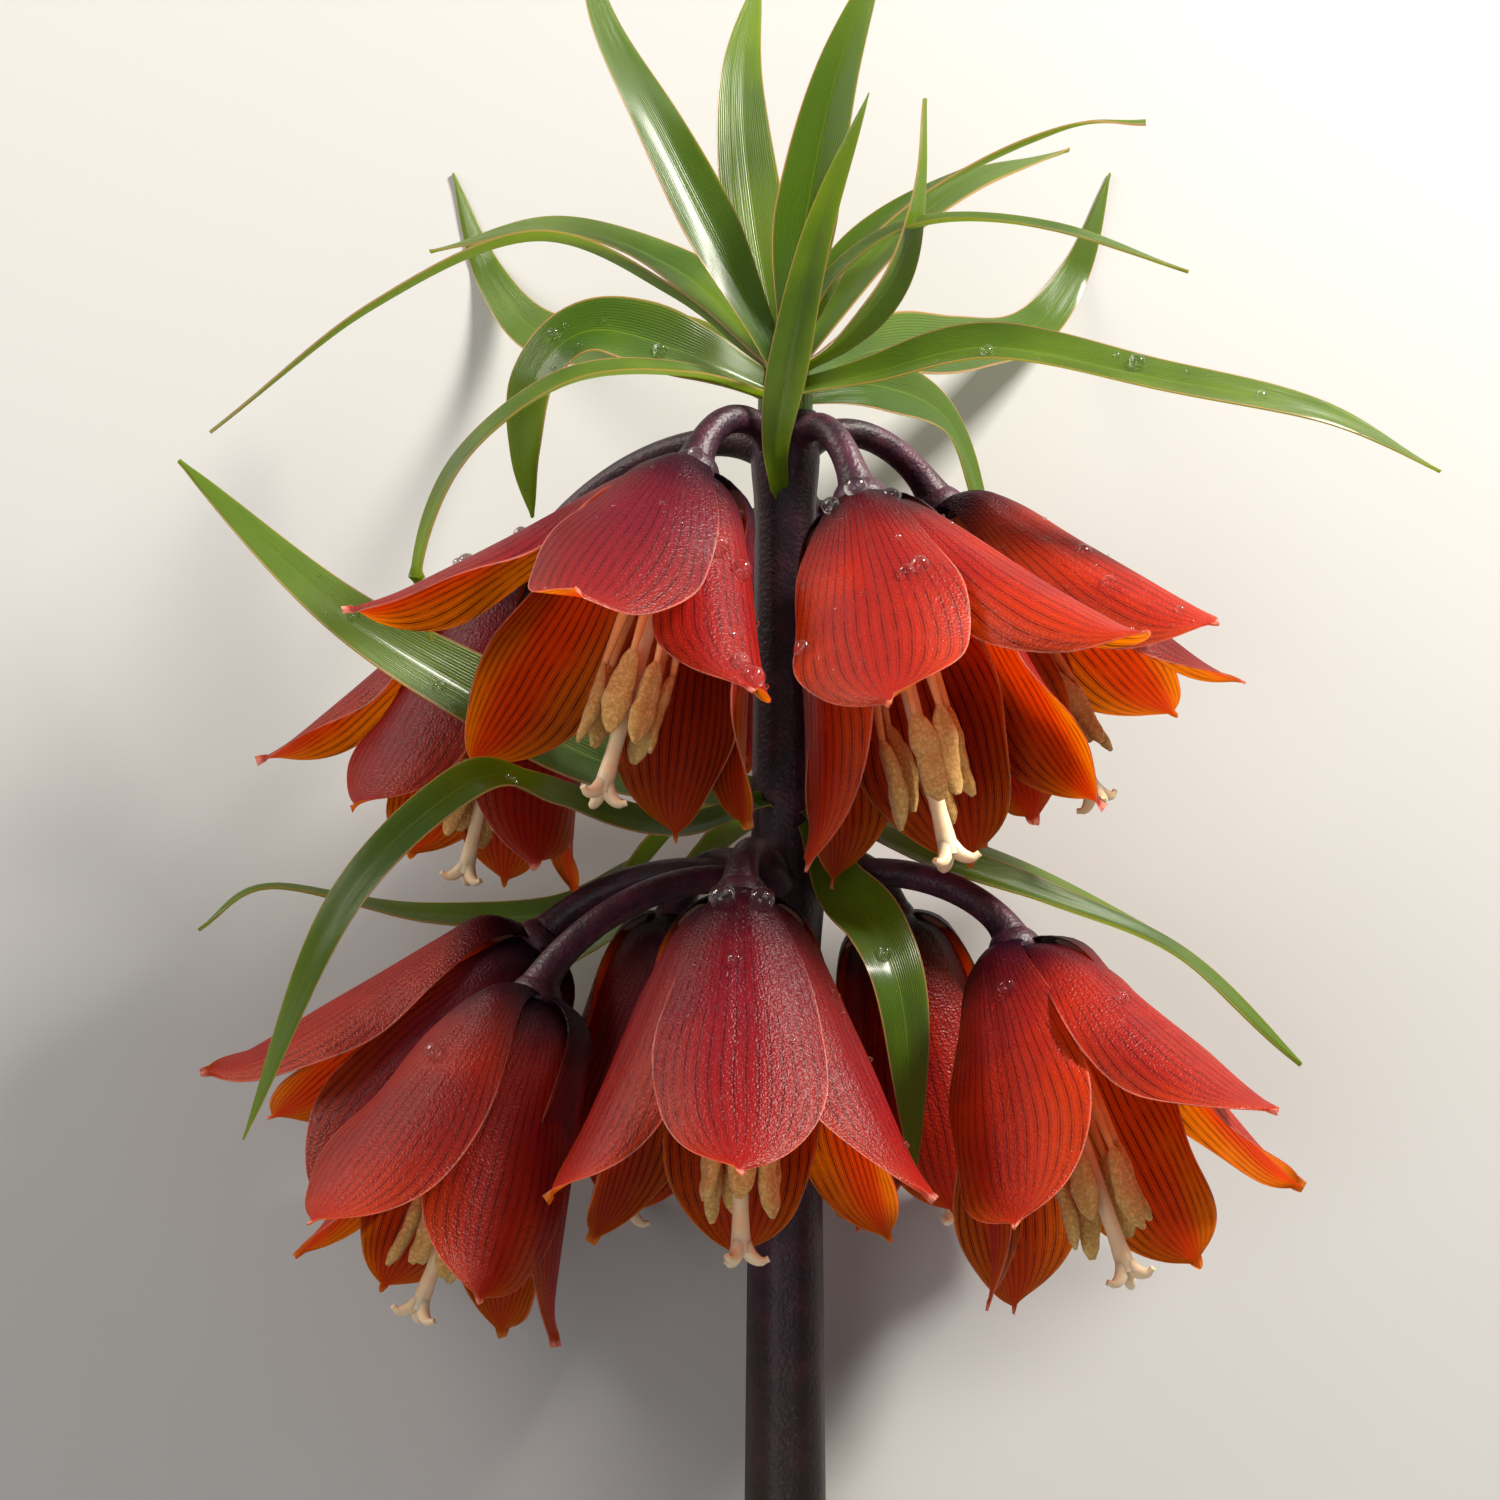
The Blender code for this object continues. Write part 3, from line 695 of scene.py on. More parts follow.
@dataclass
class Bell:
    """One hanging flower: its stalk ends at base, and its mouth points along mouth.

    Its own sizes are in millimetres, before they are scaled by size. Depths go down its axis.
    """

    name: str
    tier: Tier
    base: Point
    mouth: Point
    size: float
    tepals: tuple[Tepal, ...]
    tone: float = 0.5
    tepal_length: float = 58.0
    tepal_width: float = 27.0
    tepal_thickness: float = 0.54
    rows: int = 54
    rib_steps: int = 400
    crowding: float = 1.35
    columns: int = 24
    root: tuple[float, float] = (2.4, 2.8)
    outer_step: float = 1.3
    shoulder_deg: float = 80.0
    shoulder_share: float = 0.12
    cup_inner: float = 16.0
    cup_outer: float = 24.0
    foot_width: float = 0.24
    widest: float = 0.6
    curl_from: float = 0.78
    point_from: float = 0.972
    point_width: float = 0.065
    receptacle: tuple[float, float] = (-0.6, 4.6)
    receptacle_radius: float = 4.3
    anther_ring: float = 5.4
    anther_depth: float = 36.5
    anther_length: float = 13.5
    anther_radius: float = 2.05
    style_depths: tuple[float, float] = (4.9, 56.5)
    stalk_radius: float = 2.25

    def to_plant(self, points: np.ndarray) -> np.ndarray:
        """Bring points of the bell, whose Z runs down its axis and X towards the viewer, to the plant."""
        axis = unit(self.mouth)
        front = np.array((0.0, 0.0, 1.0))
        front = unit(front - axis * np.dot(front, axis))
        side = np.cross(axis, front)
        turn = np.stack([front, side, axis]) * self.size
        return np.asarray(points, float) @ turn + self.base

    def half_width(self, along: float) -> float:
        """Half the width of a petal at this share of its length."""
        if along < self.widest:
            rise = math.sin(math.pi / 2 * along / self.widest) ** 1.2
            share = self.foot_width + (1 - self.foot_width) * rise
        else:
            fall = min(1.0, (along - self.widest) / (self.point_from - self.widest))
            drawn = max(0.0, (along - self.point_from) / (1 - self.point_from))
            point = self.point_width * math.sqrt(max(0.01, 1 - drawn))
            share = max(point, (1 - fall**2.2) ** 0.72)
        return self.tepal_width / 2 * share

    def shares(self) -> np.ndarray:
        """Each row's share of a petal's length: the rows crowd together towards the tip."""
        return 1 - (1 - np.linspace(0, 1, self.rows + 1)) ** self.crowding

    def rib(self, tepal: Tepal, outer: bool) -> np.ndarray:
        """A petal's rib.

        Args:
            tepal: The petal.
            outer: Whether it is one of the three outer ones.

        Returns:
            (distance from the axis, depth, lean) at each row.
        """
        radius, depth = self.root
        lift = self.outer_step if outer else 0.0
        evenly = np.linspace(0, 1, self.rib_steps + 1)
        line = []
        for along in evenly:
            bend = math.exp(-((along / self.shoulder_share) ** 1.5))
            curled = float(smooth_step((along - self.curl_from) / (1 - self.curl_from))) ** 1.5
            opening = tepal.opening * (0.9 + 0.2 * along) + tepal.curl * curled
            lean = math.radians(opening + (self.shoulder_deg - tepal.opening) * bend)
            line.append((radius + lift * math.cos(lean), depth - lift * math.sin(lean), lean))
            radius += self.tepal_length / self.rib_steps * math.sin(lean)
            depth += self.tepal_length / self.rib_steps * math.cos(lean)
        return np.stack([np.interp(self.shares(), evenly, values) for values in zip(*line)], axis=1)

    def petal(self, tepal: Tepal, outer: bool, wave: float, phase: float) -> tuple[np.ndarray, np.ndarray]:
        """One petal's two sides in the bell's frame.

        Args:
            tepal: The petal.
            outer: Whether it is one of the three outer ones.
            wave: How far its edges wave, in millimetres.
            phase: Where the waves begin, from 0 to 1.

        Returns:
            The grids of its outside and its inside.
        """
        radial, tangent = directions(tepal.turn)
        axis = np.array((0.0, 0.0, 1.0))
        across = np.linspace(-1, 1, self.columns + 1)
        widest_cup = tepal.rolled or (self.cup_outer if outer else self.cup_inner)
        outside, inside = [], []
        for along, (radius, depth, lean) in zip(self.shares(), self.rib(tepal, outer)):
            cup = min(radius / max(0.2, math.cos(min(lean, 1.2))), widest_cup)
            outward = math.cos(lean) * radial - math.sin(lean) * axis
            centre = radius * radial + depth * axis - cup * outward
            bend = across * self.half_width(along) / cup
            normal = np.cos(bend)[:, None] * outward + np.sin(bend)[:, None] * tangent
            hump = 1.2 * math.exp(-(((along - self.shoulder_share) / 0.07) ** 2)) if outer else 0.0
            raised = hump * np.exp(-((across / 0.55) ** 2))
            groove = -0.35 * np.exp(-((across / 0.12) ** 2)) * math.sin(math.pi * min(1.0, along * 1.1))
            swell = wave * np.abs(across) ** 3 * np.sin(2 * math.pi * (2.3 * along + phase + 0.25 * across))
            middle = cup + raised + groove + swell * float(smooth_step(along * 2))
            thick = self.tepal_thickness / 2 * (1 - 0.55 * np.abs(across) ** 4) * (1 - 0.35 * along)
            outside.append(centre + (middle + thick)[:, None] * normal)
            inside.append(centre + (middle - thick)[:, None] * normal)
        return np.array(outside), np.array(inside)

    def build_petals(self, finishes: Finishes, seeded: random.Random, skins: Skins) -> Piece:
        """The six petals and the receptacle that they grow on. Each petal's two sides are kept in skins."""
        form = Form()
        for k, tepal in enumerate(self.tepals):
            sides = self.petal(tepal, k % 2 == 0, seeded.uniform(0.4, 1.0), seeded.random())
            skin = Skin(*(self.to_plant(side) for side in sides), self.shares())
            tone = min(1.0, max(0.0, self.tone + seeded.uniform(-0.25, 0.25)))
            form.add_plate(skin, tone=tone)
            skins[f"{self.name}.{k}"] = skin
        path = straight_path(*self.receptacle, 9)
        radii = self.receptacle_radius * np.sin(np.linspace(0.75, 2.3, 9))
        form.add_rings(self.to_plant(rings_along(path, radii, 28, start_side=(1, 0, 0))), tone=0.0, slot=2)
        piece = form.make("petals_" + self.name, [*finishes.petal, finishes.stem[1]])
        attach(piece, "root")
        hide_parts("bell_" + self.name)
        return piece

    def filament(self, turn_deg: float, spread: float, start: float) -> np.ndarray:
        """A filament's path in the bell's frame, from the disc to where its anther is held."""
        out, _ = directions(turn_deg)
        knots = [(1.7, 5.0), (3.0, 15.0), (0.85 * spread, start - 8.0), (spread, start + 1.5)]
        return curve_through([reach * out + (0, 0, depth) for reach, depth in knots], 18)

    def anther(self, turn_deg: float, spread: float, start: float, tilt: float) -> np.ndarray:
        """The rings of an anther: two long lobes with a groove between them."""
        out, side = directions(turn_deg)
        along = np.linspace(0, 1, 19)
        outwards = spread + tilt * along - 0.7 * np.sin(math.pi * along)
        sideways = (0.5 * np.sin(5.0 * along + 9.0 * tilt) - 0.9 * tilt) * along
        path = outwards[:, None] * out + sideways[:, None] * side
        path[:, 2] += start + self.anther_length * along
        radii = self.anther_radius * np.maximum(0.12, 1 - np.abs(2 * along - 1) ** 3.2) ** 0.6
        radii *= 1 + 0.1 * np.sin(9.0 * along + 5.0 * tilt) + 0.05 * np.sin(23.0 * along)
        turns = np.arange(20) * 2 * math.pi / 20
        reach = 0.62 + 0.38 * np.abs(np.cos(turns)) ** 1.2
        profile = np.stack([reach * np.cos(turns), 0.78 * reach * np.sin(turns)], axis=1)
        return rings_along(path, radii, 20, profile, start_side=side)

    def add_pistil(self, form: Form) -> None:
        """Add the ovary's top, the style and its three stigma lobes."""
        first, last = self.style_depths
        style = straight_path(first, last, 25)
        style[:, 0] += 0.5 * np.sin(np.linspace(0, 2.6, 25))
        radii = np.interp(style[:, 2], (first, 6, 14, 18, 50, last), (2.6, 2.5, 2.3, 1.25, 1.2, 1.6))
        form.add_rings(self.to_plant(rings_along(style, radii, 16)), slot=2)
        radii = 1.15 * np.maximum(0.25, 1 - np.linspace(0, 1, 13) ** 3) ** 0.6
        for k in range(3):
            out, _ = directions(self.tepals[0].turn + 30 + 120 * k)
            lobe = [(0.0, last - 2.5), (1.4, last + 0.1), (3.0, last + 1.1), (4.2, last + 0.7)]
            knots = [style[-1] * (1, 1, 0) + reach * out + (0, 0, depth) for reach, depth in lobe]
            form.add_rings(self.to_plant(rings_along(curve_through(knots, 12), radii, 12)), slot=2)

    def build_stamens(self, finishes: Finishes, seeded: random.Random) -> Piece:
        """The six stamens and the pistil."""
        form = Form()
        for tepal in self.tepals:
            spread = self.anther_ring + seeded.uniform(-0.5, 0.7)
            start = self.anther_depth + seeded.uniform(-2.2, 1.6)
            turn = tepal.turn + seeded.uniform(-5, 5)
            path = self.filament(turn, spread, start)
            radii = np.interp(np.linspace(0, 1, len(path)), (0, 0.7, 1), (1.1, 0.85, 0.45))
            form.add_rings(self.to_plant(rings_along(path, radii, 10)), tone=seeded.random())
            rings = self.anther(turn, spread, start, seeded.uniform(-0.9, 1.2))
            form.add_rings(self.to_plant(rings), tone=seeded.random(), slot=1)
        self.add_pistil(form)
        piece = form.make("stamen_cluster_" + self.name, finishes.stamen)
        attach(piece, "root")
        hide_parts("stamens_" + self.name)
        return piece

    def stalk(self) -> tuple[np.ndarray, np.ndarray]:
        """The path and the radii of the curved stalk, from inside the stem to the top of the bell."""
        base, mouth = np.asarray(self.base, float), unit(self.mouth)
        out = unit((base[0], 0, base[2]))
        reach = math.hypot(base[0], base[2])
        start = out + (0, self.tier.value, 0)
        end = base + 0.4 * mouth
        rising = start + 0.4 * reach * out + (0, 9.0, 0)
        falling = end - 8.0 * mouth
        share = np.linspace(0, 1, 33)
        t = share[:, None]
        path = (1 - t) ** 3 * start + 3 * t * (1 - t) ** 2 * rising
        path += 3 * t**2 * (1 - t) * falling + t**3 * end
        radii = self.stalk_radius * (1 + 0.45 * share**10 + 0.5 * np.exp(-((share / 0.12) ** 2)))
        return path, radii


@dataclass
class Leaf:
    """One long pointed leaf: points along its rib from the stem outwards, its width and its facing."""

    name: str
    points: list[Point]
    width: float
    face: Point
    rows: int = 64
    columns: int = 14
    fold: float = 0.35
    thickness: float = 0.6
    midrib: float = 0.22

    def half_width(self, along: float) -> float:
        """Half the width at this share of the length."""
        rise = 0.42 + 0.58 * float(smooth_step(along / 0.35))
        return self.width / 2 * max(0.03, rise * (1 - along**2.2) ** 0.85)

    def sides(self, wave: float, phase: float) -> tuple[np.ndarray, np.ndarray]:
        """The leaf's two sides in the plant's frame.

        Args:
            wave: How far its edges wave, in millimetres.
            phase: Where the waves begin, from 0 to 1.

        Returns:
            The grids of its upper side and its under side.
        """
        rib = curve_through(self.points, self.rows)
        across = np.linspace(-1, 1, self.columns + 1)
        flat = self.thickness / 2 * (1 - 0.5 * across**4)
        keel = self.midrib * np.exp(-((across / 0.1) ** 2))
        upper, under = [], []
        for i, (middle, direction) in enumerate(zip(rib, np.gradient(rib, axis=0))):
            along = i / self.rows
            direction = unit(direction)
            normal = unit(self.face - direction * np.dot(self.face, direction))
            half = self.half_width(along)
            fold = self.fold * half * (1 - float(smooth_step(1.6 * along - 0.6)))
            lift = fold * (np.sqrt(across**2 + 0.02) - 0.14)
            lift += wave * np.abs(across) ** 2 * across * math.sin(2 * math.pi * (1.6 * along + phase))
            row = middle + half * across[:, None] * np.cross(direction, normal)
            upper.append(row + (lift + flat)[:, None] * normal)
            under.append(row + (lift - flat - keel * (1 - along))[:, None] * normal)
        return np.array(upper), np.array(under)

    def add_to(self, form: Form, seeded: random.Random, skins: Skins) -> None:
        """Add the leaf to a form, and keep its two sides in skins."""
        upper, under = self.sides(seeded.uniform(0.15, 0.5), seeded.random())
        skins[self.name] = Skin(upper, under, np.linspace(0, 1, self.rows + 1))
        form.add_plate(skins[self.name], tone=seeded.random())

    def rooted(self, stem_radius: float) -> "Leaf":
        """The same leaf with its base drawn into the stem."""
        x, y, z = self.points[0]
        inner = (stem_radius - 1.0) / math.hypot(x, z)
        return replace(self, points=[(x * inner, y - 0.6, z * inner), *self.points])

    def build(self, finishes: Finishes, seeded: random.Random, skins: Skins) -> Piece:
        """The leaf as a piece that stands for its node."""
        form = Form()
        self.rooted(Stem().radius(self.points[0][1])).add_to(form, seeded, skins)
        piece = form.make("blade_" + self.name, finishes.leaf)
        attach(piece, "root")
        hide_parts(self.name)
        return piece


@dataclass
class Stem:
    """The stem from its cut end to its tip."""

    cut_end: float = -228.0
    top: float = 2.0
    radius_top: float = 4.6
    radius_cut: float = 7.0
    cut_edge: tuple[float, float] = (0.45, 0.1)
    swelling: float = 0.8
    swelling_reach: float = 6.0
    rings: int = 90
    sides: int = 40

    def radius(self, height: float) -> float:
        """The stem's radius at this height."""
        return float(np.interp(height, (self.cut_end, self.top), (self.radius_cut, self.radius_top)))

    def build(self, bells: Sequence[Bell], finishes: Finishes) -> Piece:
        """The stem with the stalks of all the bells."""
        form = Form()
        even = np.linspace(self.cut_end + 1, self.top + 1, self.rings)
        heights = np.concatenate([[self.cut_end, self.cut_end + 0.35], even])
        path = np.stack([np.zeros(len(heights)), heights, np.zeros(len(heights))], axis=1)
        radii = np.array([self.radius(h) for h in heights])
        radii[:2] -= self.cut_edge
        for tier in Tier:
            radii += self.swelling * np.exp(-(((heights - tier.value) / self.swelling_reach) ** 2))
        turns = np.arange(self.sides) * 2 * math.pi / self.sides
        ribs = 1 + 0.018 * np.sin(5 * turns) + 0.01 * np.sin(9 * turns + 1)
        profile = np.stack([ribs * np.cos(turns), ribs * np.sin(turns)], axis=1)
        form.add_rings(rings_along(path, radii, self.sides, profile), caps=(2, 0))
        for bell in bells:
            form.add_rings(rings_along(*bell.stalk(), 20), slot=1)
        piece = form.make("stem_and_stalks", finishes.stem)
        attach(piece, "root")
        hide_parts("flower_stem")
        return piece


@dataclass
class Tuft:
    """The leaves at the stem's tip, with the small core that they grow round."""

    leaves: list[Leaf]
    core: tuple[float, float] = (2.0, 15.0)
    core_radius: float = 4.4
    core_rings: int = 20

    def build(self, finishes: Finishes, seeded: random.Random, skins: Skins) -> Piece:
        """The tuft as one piece."""
        form = Form()
        for leaf in self.leaves:
            leaf.add_to(form, seeded, skins)
        path = straight_path(*self.core, self.core_rings)[:, [0, 2, 1]]
        narrowing = np.linspace(0, 1, self.core_rings) ** 2.4
        radii = self.core_radius * np.maximum(0.1, 1 - narrowing) ** 0.5
        form.add_rings(rings_along(path, radii, 28), tone=0.2)
        piece = form.make("leaf_tuft", finishes.leaf)
        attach(piece, "root")
        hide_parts("crown_leaves")
        return piece


class Drop(NamedTuple):
    """A drop of water on a petal or a leaf: the shares of the skin's length and width, and its radius."""

    skin: str
    along: float
    across: float
    radius: float


@dataclass
class Rain:
    """The drops of water that stand on the petals and the leaves."""

    drops: list[Drop]
    misted: tuple[str, ...]
    mist_per_skin: int = 9
    steps: int = 9
    sides: int = 16
    flatness: float = 0.9
    sunk: float = 0.4
    swell: float = 1.25

    def mist(self, seeded: random.Random) -> list[Drop]:
        """Many small drops, scattered over the skins that the rain has reached."""
        small = []
        for skin in self.misted:
            for _ in range(self.mist_per_skin):
                place = (seeded.uniform(0.1, 0.93), seeded.uniform(-0.85, 0.85))
                small.append(Drop(skin, *place, seeded.uniform(0.16, 0.42)))
        return small

    def rings(self, drop: Drop, skins: Skins) -> np.ndarray:
        """A drop's rings, from the skin outwards."""
        front, back, shares = skins[drop.skin]
        i = int(np.abs(shares - drop.along).argmin())
        j = round((drop.across + 1) / 2 * (front.shape[1] - 1))
        normal = unit(front[i, j] - back[i, j])
        turns = np.linspace(math.pi - 0.12, 0.12, self.steps)
        heights = self.swell * drop.radius * (self.flatness * np.cos(turns) + self.sunk)
        path = front[i, j] + heights[:, None] * normal
        return rings_along(path, self.swell * drop.radius * np.sin(turns), self.sides)

    def build(self, finishes: Finishes, seeded: random.Random, skins: Skins) -> Piece:
        """All the drops as one piece."""
        form = Form()
        for drop in self.drops + self.mist(seeded):
            form.add_rings(self.rings(drop, skins))
        piece = form.make("water_drops", finishes.water)
        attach(piece, "root")
        return piece


def bell(name: str, tier: Tier, tone: float, base: Point, mouth: Point, size: float,
         tepals: Sequence[tuple]) -> Bell:
    """A bell from its plain numbers."""
    return Bell(name, tier, tuple(base), tuple(mouth), size, tuple(Tepal(*t) for t in tepals), tone)


BELLS = [
    bell("top_front_left", Tier.TOP, 0.25, (-14, -6, 16), (-15, -55, 20), 1.0,
         ((14, 36, None, 50), (84, 43), (135, 22), (-145, 12), (-100, 12), (-28, 33, 8.5))),
    bell("top_front_right", Tier.TOP, 0.75, (11, -10, 15), (14, -57, 12), 1.06,
         ((6, 41, None, 6), (-44, 46, 10), (-115, 16), (-170, 10), (125, 10), (70, 12))),
    bell("top_right", Tier.TOP, 0.55, (24, -10, -11), (27, -50, 3), 0.97,
         ((-40, 39, 11), (-86, 22), (-140, 22), (165, 18), (98, 9), (40, 8))),
    bell("top_left", Tier.TOP, 0.5, (-40, -20, -20), (-12, -52, 6), 0.93,
         ((42, 20), (98, 36), (150, 12), (-160, 8), (-100, 8), (-32, 14))),
    bell("top_rear", Tier.TOP, 0.5, (2, -9, -21.3), (1, -52, -14), 0.9,
         ((0, 10), (60, 12), (120, 15), (180, 15), (-120, 15), (-60, 12))),
    bell("lower_front", Tier.LOWER, 0.6, (-7, -71, 30), (0, -52, 12), 1.0,
         ((0, 26), (60, 25), (120, 16), (180, 12), (-120, 16), (-60, 25))),
    bell("lower_left", Tier.LOWER, 0.45, (-38, -80, -9), (-36, -47, -3), 1.0,
         ((75, 22), (5, 16), (-58, 10), (-118, 10), (178, 12), (130, 14))),
    bell("lower_front_left", Tier.LOWER, 0.55, (-38, -87, 17), (-19, -51, 10), 0.95,
         ((40, 22), (100, 12), (160, 10), (-140, 12), (-80, 12), (-20, 18))),
    bell("lower_right", Tier.LOWER, 0.7, (35, -80, 13), (17, -51, 20), 1.0,
         ((28, 22), (88, 12), (145, 22), (-150, 14), (-95, 20), (-45, 33))),
    bell("lower_rear_right", Tier.LOWER, 0.5, (17, -76, -15.7), (11, -53, 0), 0.9,
         ((0, 8), (60, 10), (120, 12), (180, 12), (-120, 12), (-60, 8))),
    bell("lower_rear_left", Tier.LOWER, 0.5, (-17, -76, -15.7), (-9, -53, 0), 0.9,
         ((0, 8), (60, 8), (120, 10), (180, 12), (-120, 12), (-60, 10))),
]

RESTING_RIB = [(1, 6, -3), (14, 14, -20), (30, 17, -44), (43, 22, -66), (52, 34, -77), (58, 51, -81.5)]

TUFT_LEAVES = [
    Leaf("long_right", [(2, 6, 2), (13, 8, 7), (32, 12, 9), (58, 7, 11), (84, 2, 10), (103, -7, 6)], 12,
         (0, 0.8, 0.6)),
    Leaf("upright_right", [(1, 9, 3), (9, 14, 6), (17, 24, 7), (21, 38, 6), (22, 52, 4)], 8, (0.9, 0, 0.5)),
    Leaf("thread_right", [(0, 10, 2), (8, 24, 5), (22, 32, 7), (42, 31, 9), (63, 24, 10)], 6, (0, 1, 0.4)),
    Leaf("thread_high", [(0, 11, 0), (8, 26, -3), (22, 38, -6), (45, 49, -8), (58, 50, -9)], 6,
         (0.5, 0.8, 0)),
    Leaf("drooping_left", [(-2, 6, 2), (-14, 11, 5), (-30, 15, 7), (-39, 8, 8), (-41, -4, 6),
                           (-40, -14, 2)], 13, (-0.3, 0.5, 0.8)),
    Leaf("arching_left", [(-2, 5, 4), (-16, 8, 12), (-34, 6, 18), (-50, -6, 20), (-57, -22, 18),
                          (-55, -34, 14)], 9, (0, 1, 0.3)),
    Leaf("high_left", [(-1, 10, 1), (-9, 26, 0), (-20, 48, -3), (-29, 66, -8), (-33, 82, -14)], 10,
         (0.3, 0.1, 1)),
    Leaf("far_left", [(-2, 9, 0), (-18, 22, -4), (-40, 31, -6), (-66, 20, -6), (-92, 0, -6)], 8,
         (0.1, 1, 0)),
    Leaf("high_right", [(1, 11, 0), (3, 32, 2), (8, 56, 0), (16, 78, -6)], 11, (0, 0.1, 1)),
    Leaf("high_middle", [(-1, 11, -1), (-5, 34, -8), (-7, 58, -18), (-4, 78, -32)], 11, (0, 0.3, 1)),
    Leaf("rear_right", [(1, 10, -2), (14, 28, -14), (30, 42, -26), (48, 50, -42)], 11, (-0.3, 0.7, 0.6)),
    Leaf("low_right", [(2, 6, -2), (14, 8, -12), (26, 4, -26), (32, -8, -34), (34, -20, -38)], 10,
         (1, 0.2, 0.5)),
    Leaf("rear_left", [(-1, 9, -2), (-16, 26, -18), (-38, 36, -34), (-60, 34, -52)], 11, (0, 0.9, 0.5)),
]
for side_name, side in (("resting_right", 1), ("resting_left", -1)):
    rib_points = [(side * x, y, z) for x, y, z in RESTING_RIB]
    TUFT_LEAVES.append(Leaf(side_name, rib_points, 13, (0, 0.26, 0.97)))

STEM_LEAVES = [
    Leaf("leaf_top_front", [(-1, -9, 5.6), (-1.5, -2, 8.5), (0.5, 10, 11), (5, 30, 12), (13, 52, 10)], 7,
         (0, 0, 1)),
    Leaf("leaf_far_left", [(-6, -58, 0.5), (-26, -54, 0.5), (-48, -43, 2), (-70, -29, 6), (-96, -5, 2)], 15,
         (0.3, 0.5, 0.8)),
    Leaf("leaf_left", [(-4.8, -58, -2.75), (-16, -62, -13), (-25, -71, -24), (-38, -78, -28),
                       (-60, -78, -28), (-84, -73, -20), (-95, -80, -16)], 9, (0, 1, 0.5)),
    Leaf("leaf_arching", [(-4.4, -59, 5), (-16, -63, 10), (-28, -61, 14), (-38, -57.5, 24), (-48, -56, 36),
                          (-66, -74, 50), (-80, -108, 54)], 9, (0.2, 0.8, 0.6)),
    Leaf("leaf_front_right", [(4, -62, 4.6), (8, -71.5, 8), (14, -79, 14), (18, -91, 19),
                              (20, -117, 17)], 11, (0.3, 0, 1)),
    Leaf("leaf_right", [(6, -60, 0), (20, -67.5, -3), (42, -75, -8), (64, -84, -13), (84, -102, -18)], 12,
         (0, 1, 0.4)),
    Leaf("leaf_rear_right", [(4, -60, -5), (20, -65.5, -15), (40, -71, -26), (60, -80, -34)], 12,
         (0, 0.9, 0.4)),
    Leaf("leaf_rear_left", [(-2.5, -61, -5.05), (-9, -66, -24), (-24, -78, -38), (-46, -92, -39)], 12,
         (0, 0.9, 0.4)),
]

DROPS = {
    "top_front_left.1": [(0.46, 0.1, 0.95), (0.62, 0.2, 1.25), (0.67, -0.1, 0.7)],
    "top_front_left.0": [(0.05, -0.3, 1.1)],
    "top_front_left.5": [(0.42, 0.15, 1.5), (0.46, -0.15, 1.3), (0.5, 0.35, 0.8), (0.87, 0.1, 1.2),
                         (0.93, -0.2, 1.4)],
    "top_front_right.0": [(0.1, -0.1, 1.5), (0.12, 0.6, 1.2), (0.44, -0.6, 1.2), (0.47, -0.45, 1.0),
                          (0.6, 0.8, 1.1)],
    "top_front_right.1": [(0.1, 0.3, 1.3), (0.06, -0.4, 0.7)],
    "top_right.0": [(0.48, -0.1, 1.0), (0.63, 0.2, 0.8), (0.86, 0.0, 0.6)],
    "lower_front.0": [(0.12, 0.45, 1.7), (0.13, -0.5, 1.6), (0.3, 0.1, 0.9)],
    "lower_front_left.0": [(0.35, 0.2, 1.1)],
    "lower_right.0": [(0.25, -0.3, 1.2)],
    "lower_right.5": [(0.4, 0.1, 0.9)],
    "long_right": [(0.3, 0.55, 0.9), (0.52, -0.5, 1.1), (0.7, 0.2, 0.8)],
    "drooping_left": [(0.3, -0.3, 1.0), (0.55, 0.4, 0.8)],
    "leaf_far_left": [(0.35, 0.3, 1.1), (0.5, -0.4, 0.9), (0.66, 0.1, 0.7)],
    "leaf_front_right": [(0.45, 0.2, 1.0)],
    "leaf_arching": [(0.4, -0.2, 0.9)],
}

RAIN = Rain(
    drops=[Drop(skin, *drop) for skin, drops in DROPS.items() for drop in drops],
    misted=("top_front_left.0", "top_front_left.5", "top_front_right.0", "top_front_right.1", "top_right.0",
            "lower_front.0", "lower_front.5", "lower_right.0", "leaf_far_left", "drooping_left",
            "long_right"),
)


class Lamp(NamedTuple):
    """A soft square light: its place and aim on the plant, its side in metres and its power in watts."""

    name: str
    place: Point
    aim: Point
    size: float
    power: float
    colour: Colour


LAMPS = [
    Lamp("key_light", (560, 620, 200), (0, -40, 0), 0.2, 23.0, (1.0, 0.95, 0.87)),
    Lamp("back_light", (-560, 420, 60), (0, -40, 0), 0.35, 5.0, (1.0, 0.93, 0.84)),
    Lamp("fill_light", (-300, -200, 900), (0, -60, 0), 0.5, 2.2, (0.94, 0.97, 1.0)),
]


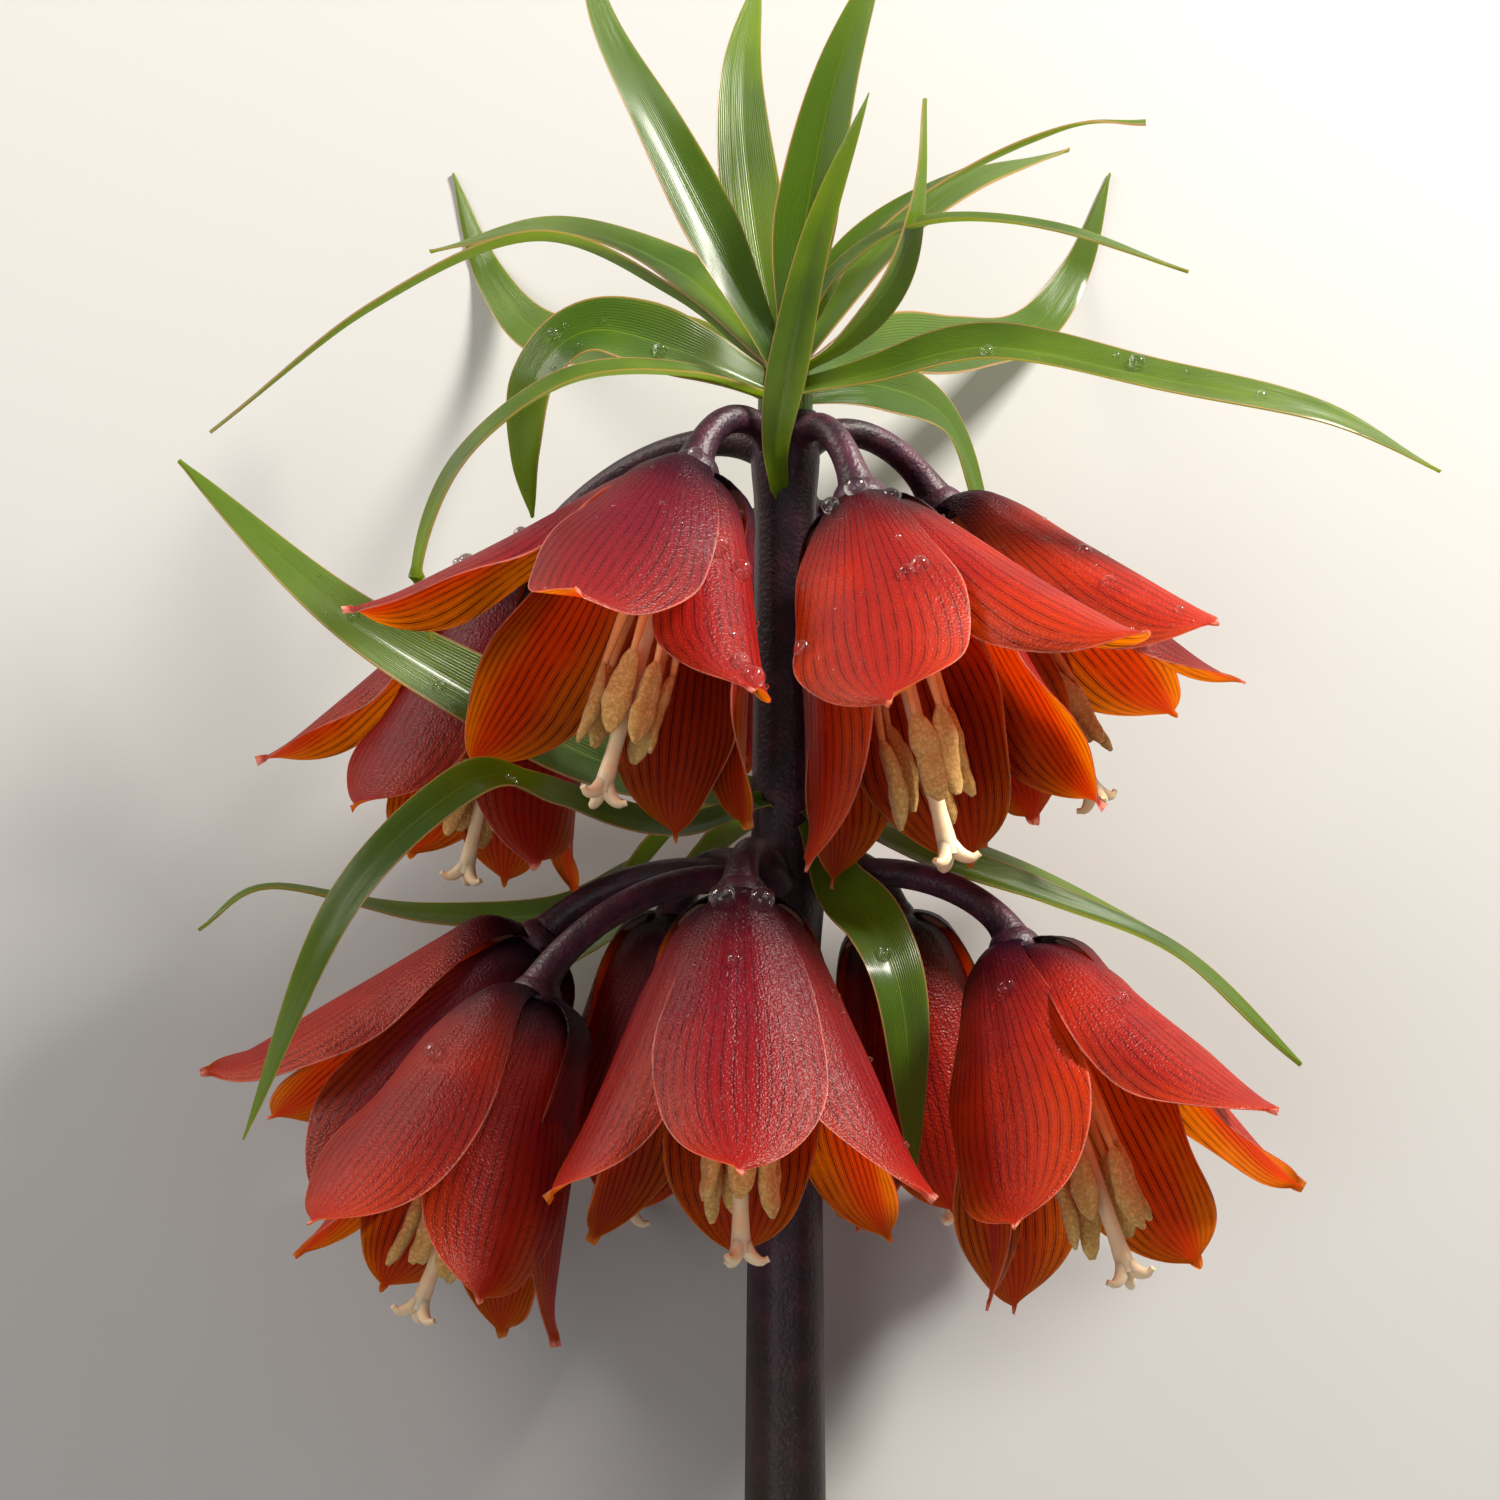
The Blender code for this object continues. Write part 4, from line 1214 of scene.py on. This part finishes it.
@dataclass
class Studio:
    """The floor, the light and the camera."""

    aim: tuple[float, float, float] = (-5.6, -50.8, 0.0)
    distance: float = 720.0
    view_width: float = 238.0
    sensor: float = 36.0
    floor_half: float = 1.6
    floor_colours: tuple[Colour, Colour] = ((0.43, 0.427, 0.42), (0.46, 0.457, 0.45))
    sky_colour: tuple[float, float, float, float] = (1.0, 0.99, 0.98, 1.0)
    sky_strength: float = 0.22

    def build(self) -> None:
        """Make all three."""
        bpy.context.scene.view_settings.view_transform = "Standard"
        self.build_floor()
        self.build_lights()
        self.build_camera()

    def build_floor(self) -> None:
        """A plain pale floor."""
        mesh = bpy.data.meshes.new("floor")
        h = self.floor_half
        mesh.from_pydata([(-h, -h, 0), (h, -h, 0), (h, h, 0), (-h, h, 0)], [], [(0, 1, 2, 3)])
        g = Graph("pale_floor")
        colour = g.blend(g.noise(g.place(), 6.0, 0.0), *self.floor_colours)
        mesh.materials.append(g.surface(g.node("ShaderNodeBsdfDiffuse", {"Color": colour})))
        floor = bpy.data.objects.new("floor", mesh)
        bpy.context.scene.collection.objects.link(floor)

    def add_light(self, lamp: Lamp) -> None:
        """Add one light."""
        data = bpy.data.lights.new(lamp.name, "AREA")
        data.size = lamp.size
        data.energy = lamp.power
        data.color = lamp.colour
        here, there = PLACE.to_row(np.array([lamp.place, lamp.aim]))
        light = bpy.data.objects.new(lamp.name, data)
        light.location = here
        light.rotation_euler = Vector(there - here).to_track_quat("-Z", "Y").to_euler()
        bpy.context.scene.collection.objects.link(light)

    def build_lights(self) -> None:
        """A warm key from beyond the tuft, low enough to shine through petals, soft fills and a pale sky."""
        for lamp in LAMPS:
            self.add_light(lamp)
        world = bpy.data.worlds.new("studio")
        world.use_nodes = True
        background = world.node_tree.nodes["Background"]
        background.inputs["Color"].default_value = self.sky_colour
        background.inputs["Strength"].default_value = self.sky_strength
        bpy.context.scene.world = world

    def build_camera(self) -> None:
        """A camera square to the plant's own frame, as the photograph was taken."""
        lens = bpy.data.cameras.new("camera")
        lens.sensor_width = self.sensor
        lens.sensor_fit = "HORIZONTAL"
        lens.lens = self.sensor * self.distance / self.view_width
        camera = bpy.data.objects.new("camera", lens)
        place = PLACE.to_row(np.array([np.add(self.aim, (0, 0, self.distance))]))[0]
        camera.matrix_world = Matrix.Translation(place) @ Matrix(PLACE.turn().tolist()).to_4x4()
        bpy.context.scene.collection.objects.link(camera)
        bpy.context.scene.camera = camera


def write_sizes() -> None:
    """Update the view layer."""
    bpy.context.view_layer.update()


def make_finishes() -> Finishes:
    """Make every material of the plant."""
    return Finishes(
        petal=[PETAL_OUTSIDE.make(), PETAL_INSIDE.make()],
        leaf=[LEAF_UPPER.make(), LEAF_UNDER.make()],
        stem=[STEM_SKIN.make(), STALK_SKIN.make(), CUT_FLESH.make()],
        stamen=[FILAMENT_FLESH.make(), POLLEN.make(), STYLE_FLESH.make()],
        water=[WaterFinish().make()],
    )


def main() -> None:
    """Build the studio and every piece of the plant."""
    logging.basicConfig(level=logging.INFO, format="%(message)s")
    seeded = random.Random(SEED)
    Studio().build()
    finishes = make_finishes()
    skins: Skins = {}
    pieces = [Stem().build(BELLS, finishes), Tuft(TUFT_LEAVES).build(finishes, seeded, skins)]
    for flower in BELLS:
        pieces.append(flower.build_petals(finishes, seeded, skins))
        pieces.append(flower.build_stamens(finishes, seeded))
    for leaf in STEM_LEAVES:
        pieces.append(leaf.build(finishes, seeded, skins))
    pieces.append(RAIN.build(finishes, seeded, skins))
    for piece in pieces:
        LOG.info("%s: %d faces", piece.name, len(piece.data.polygons))
    write_sizes()


if __name__ == "__main__":
    main()
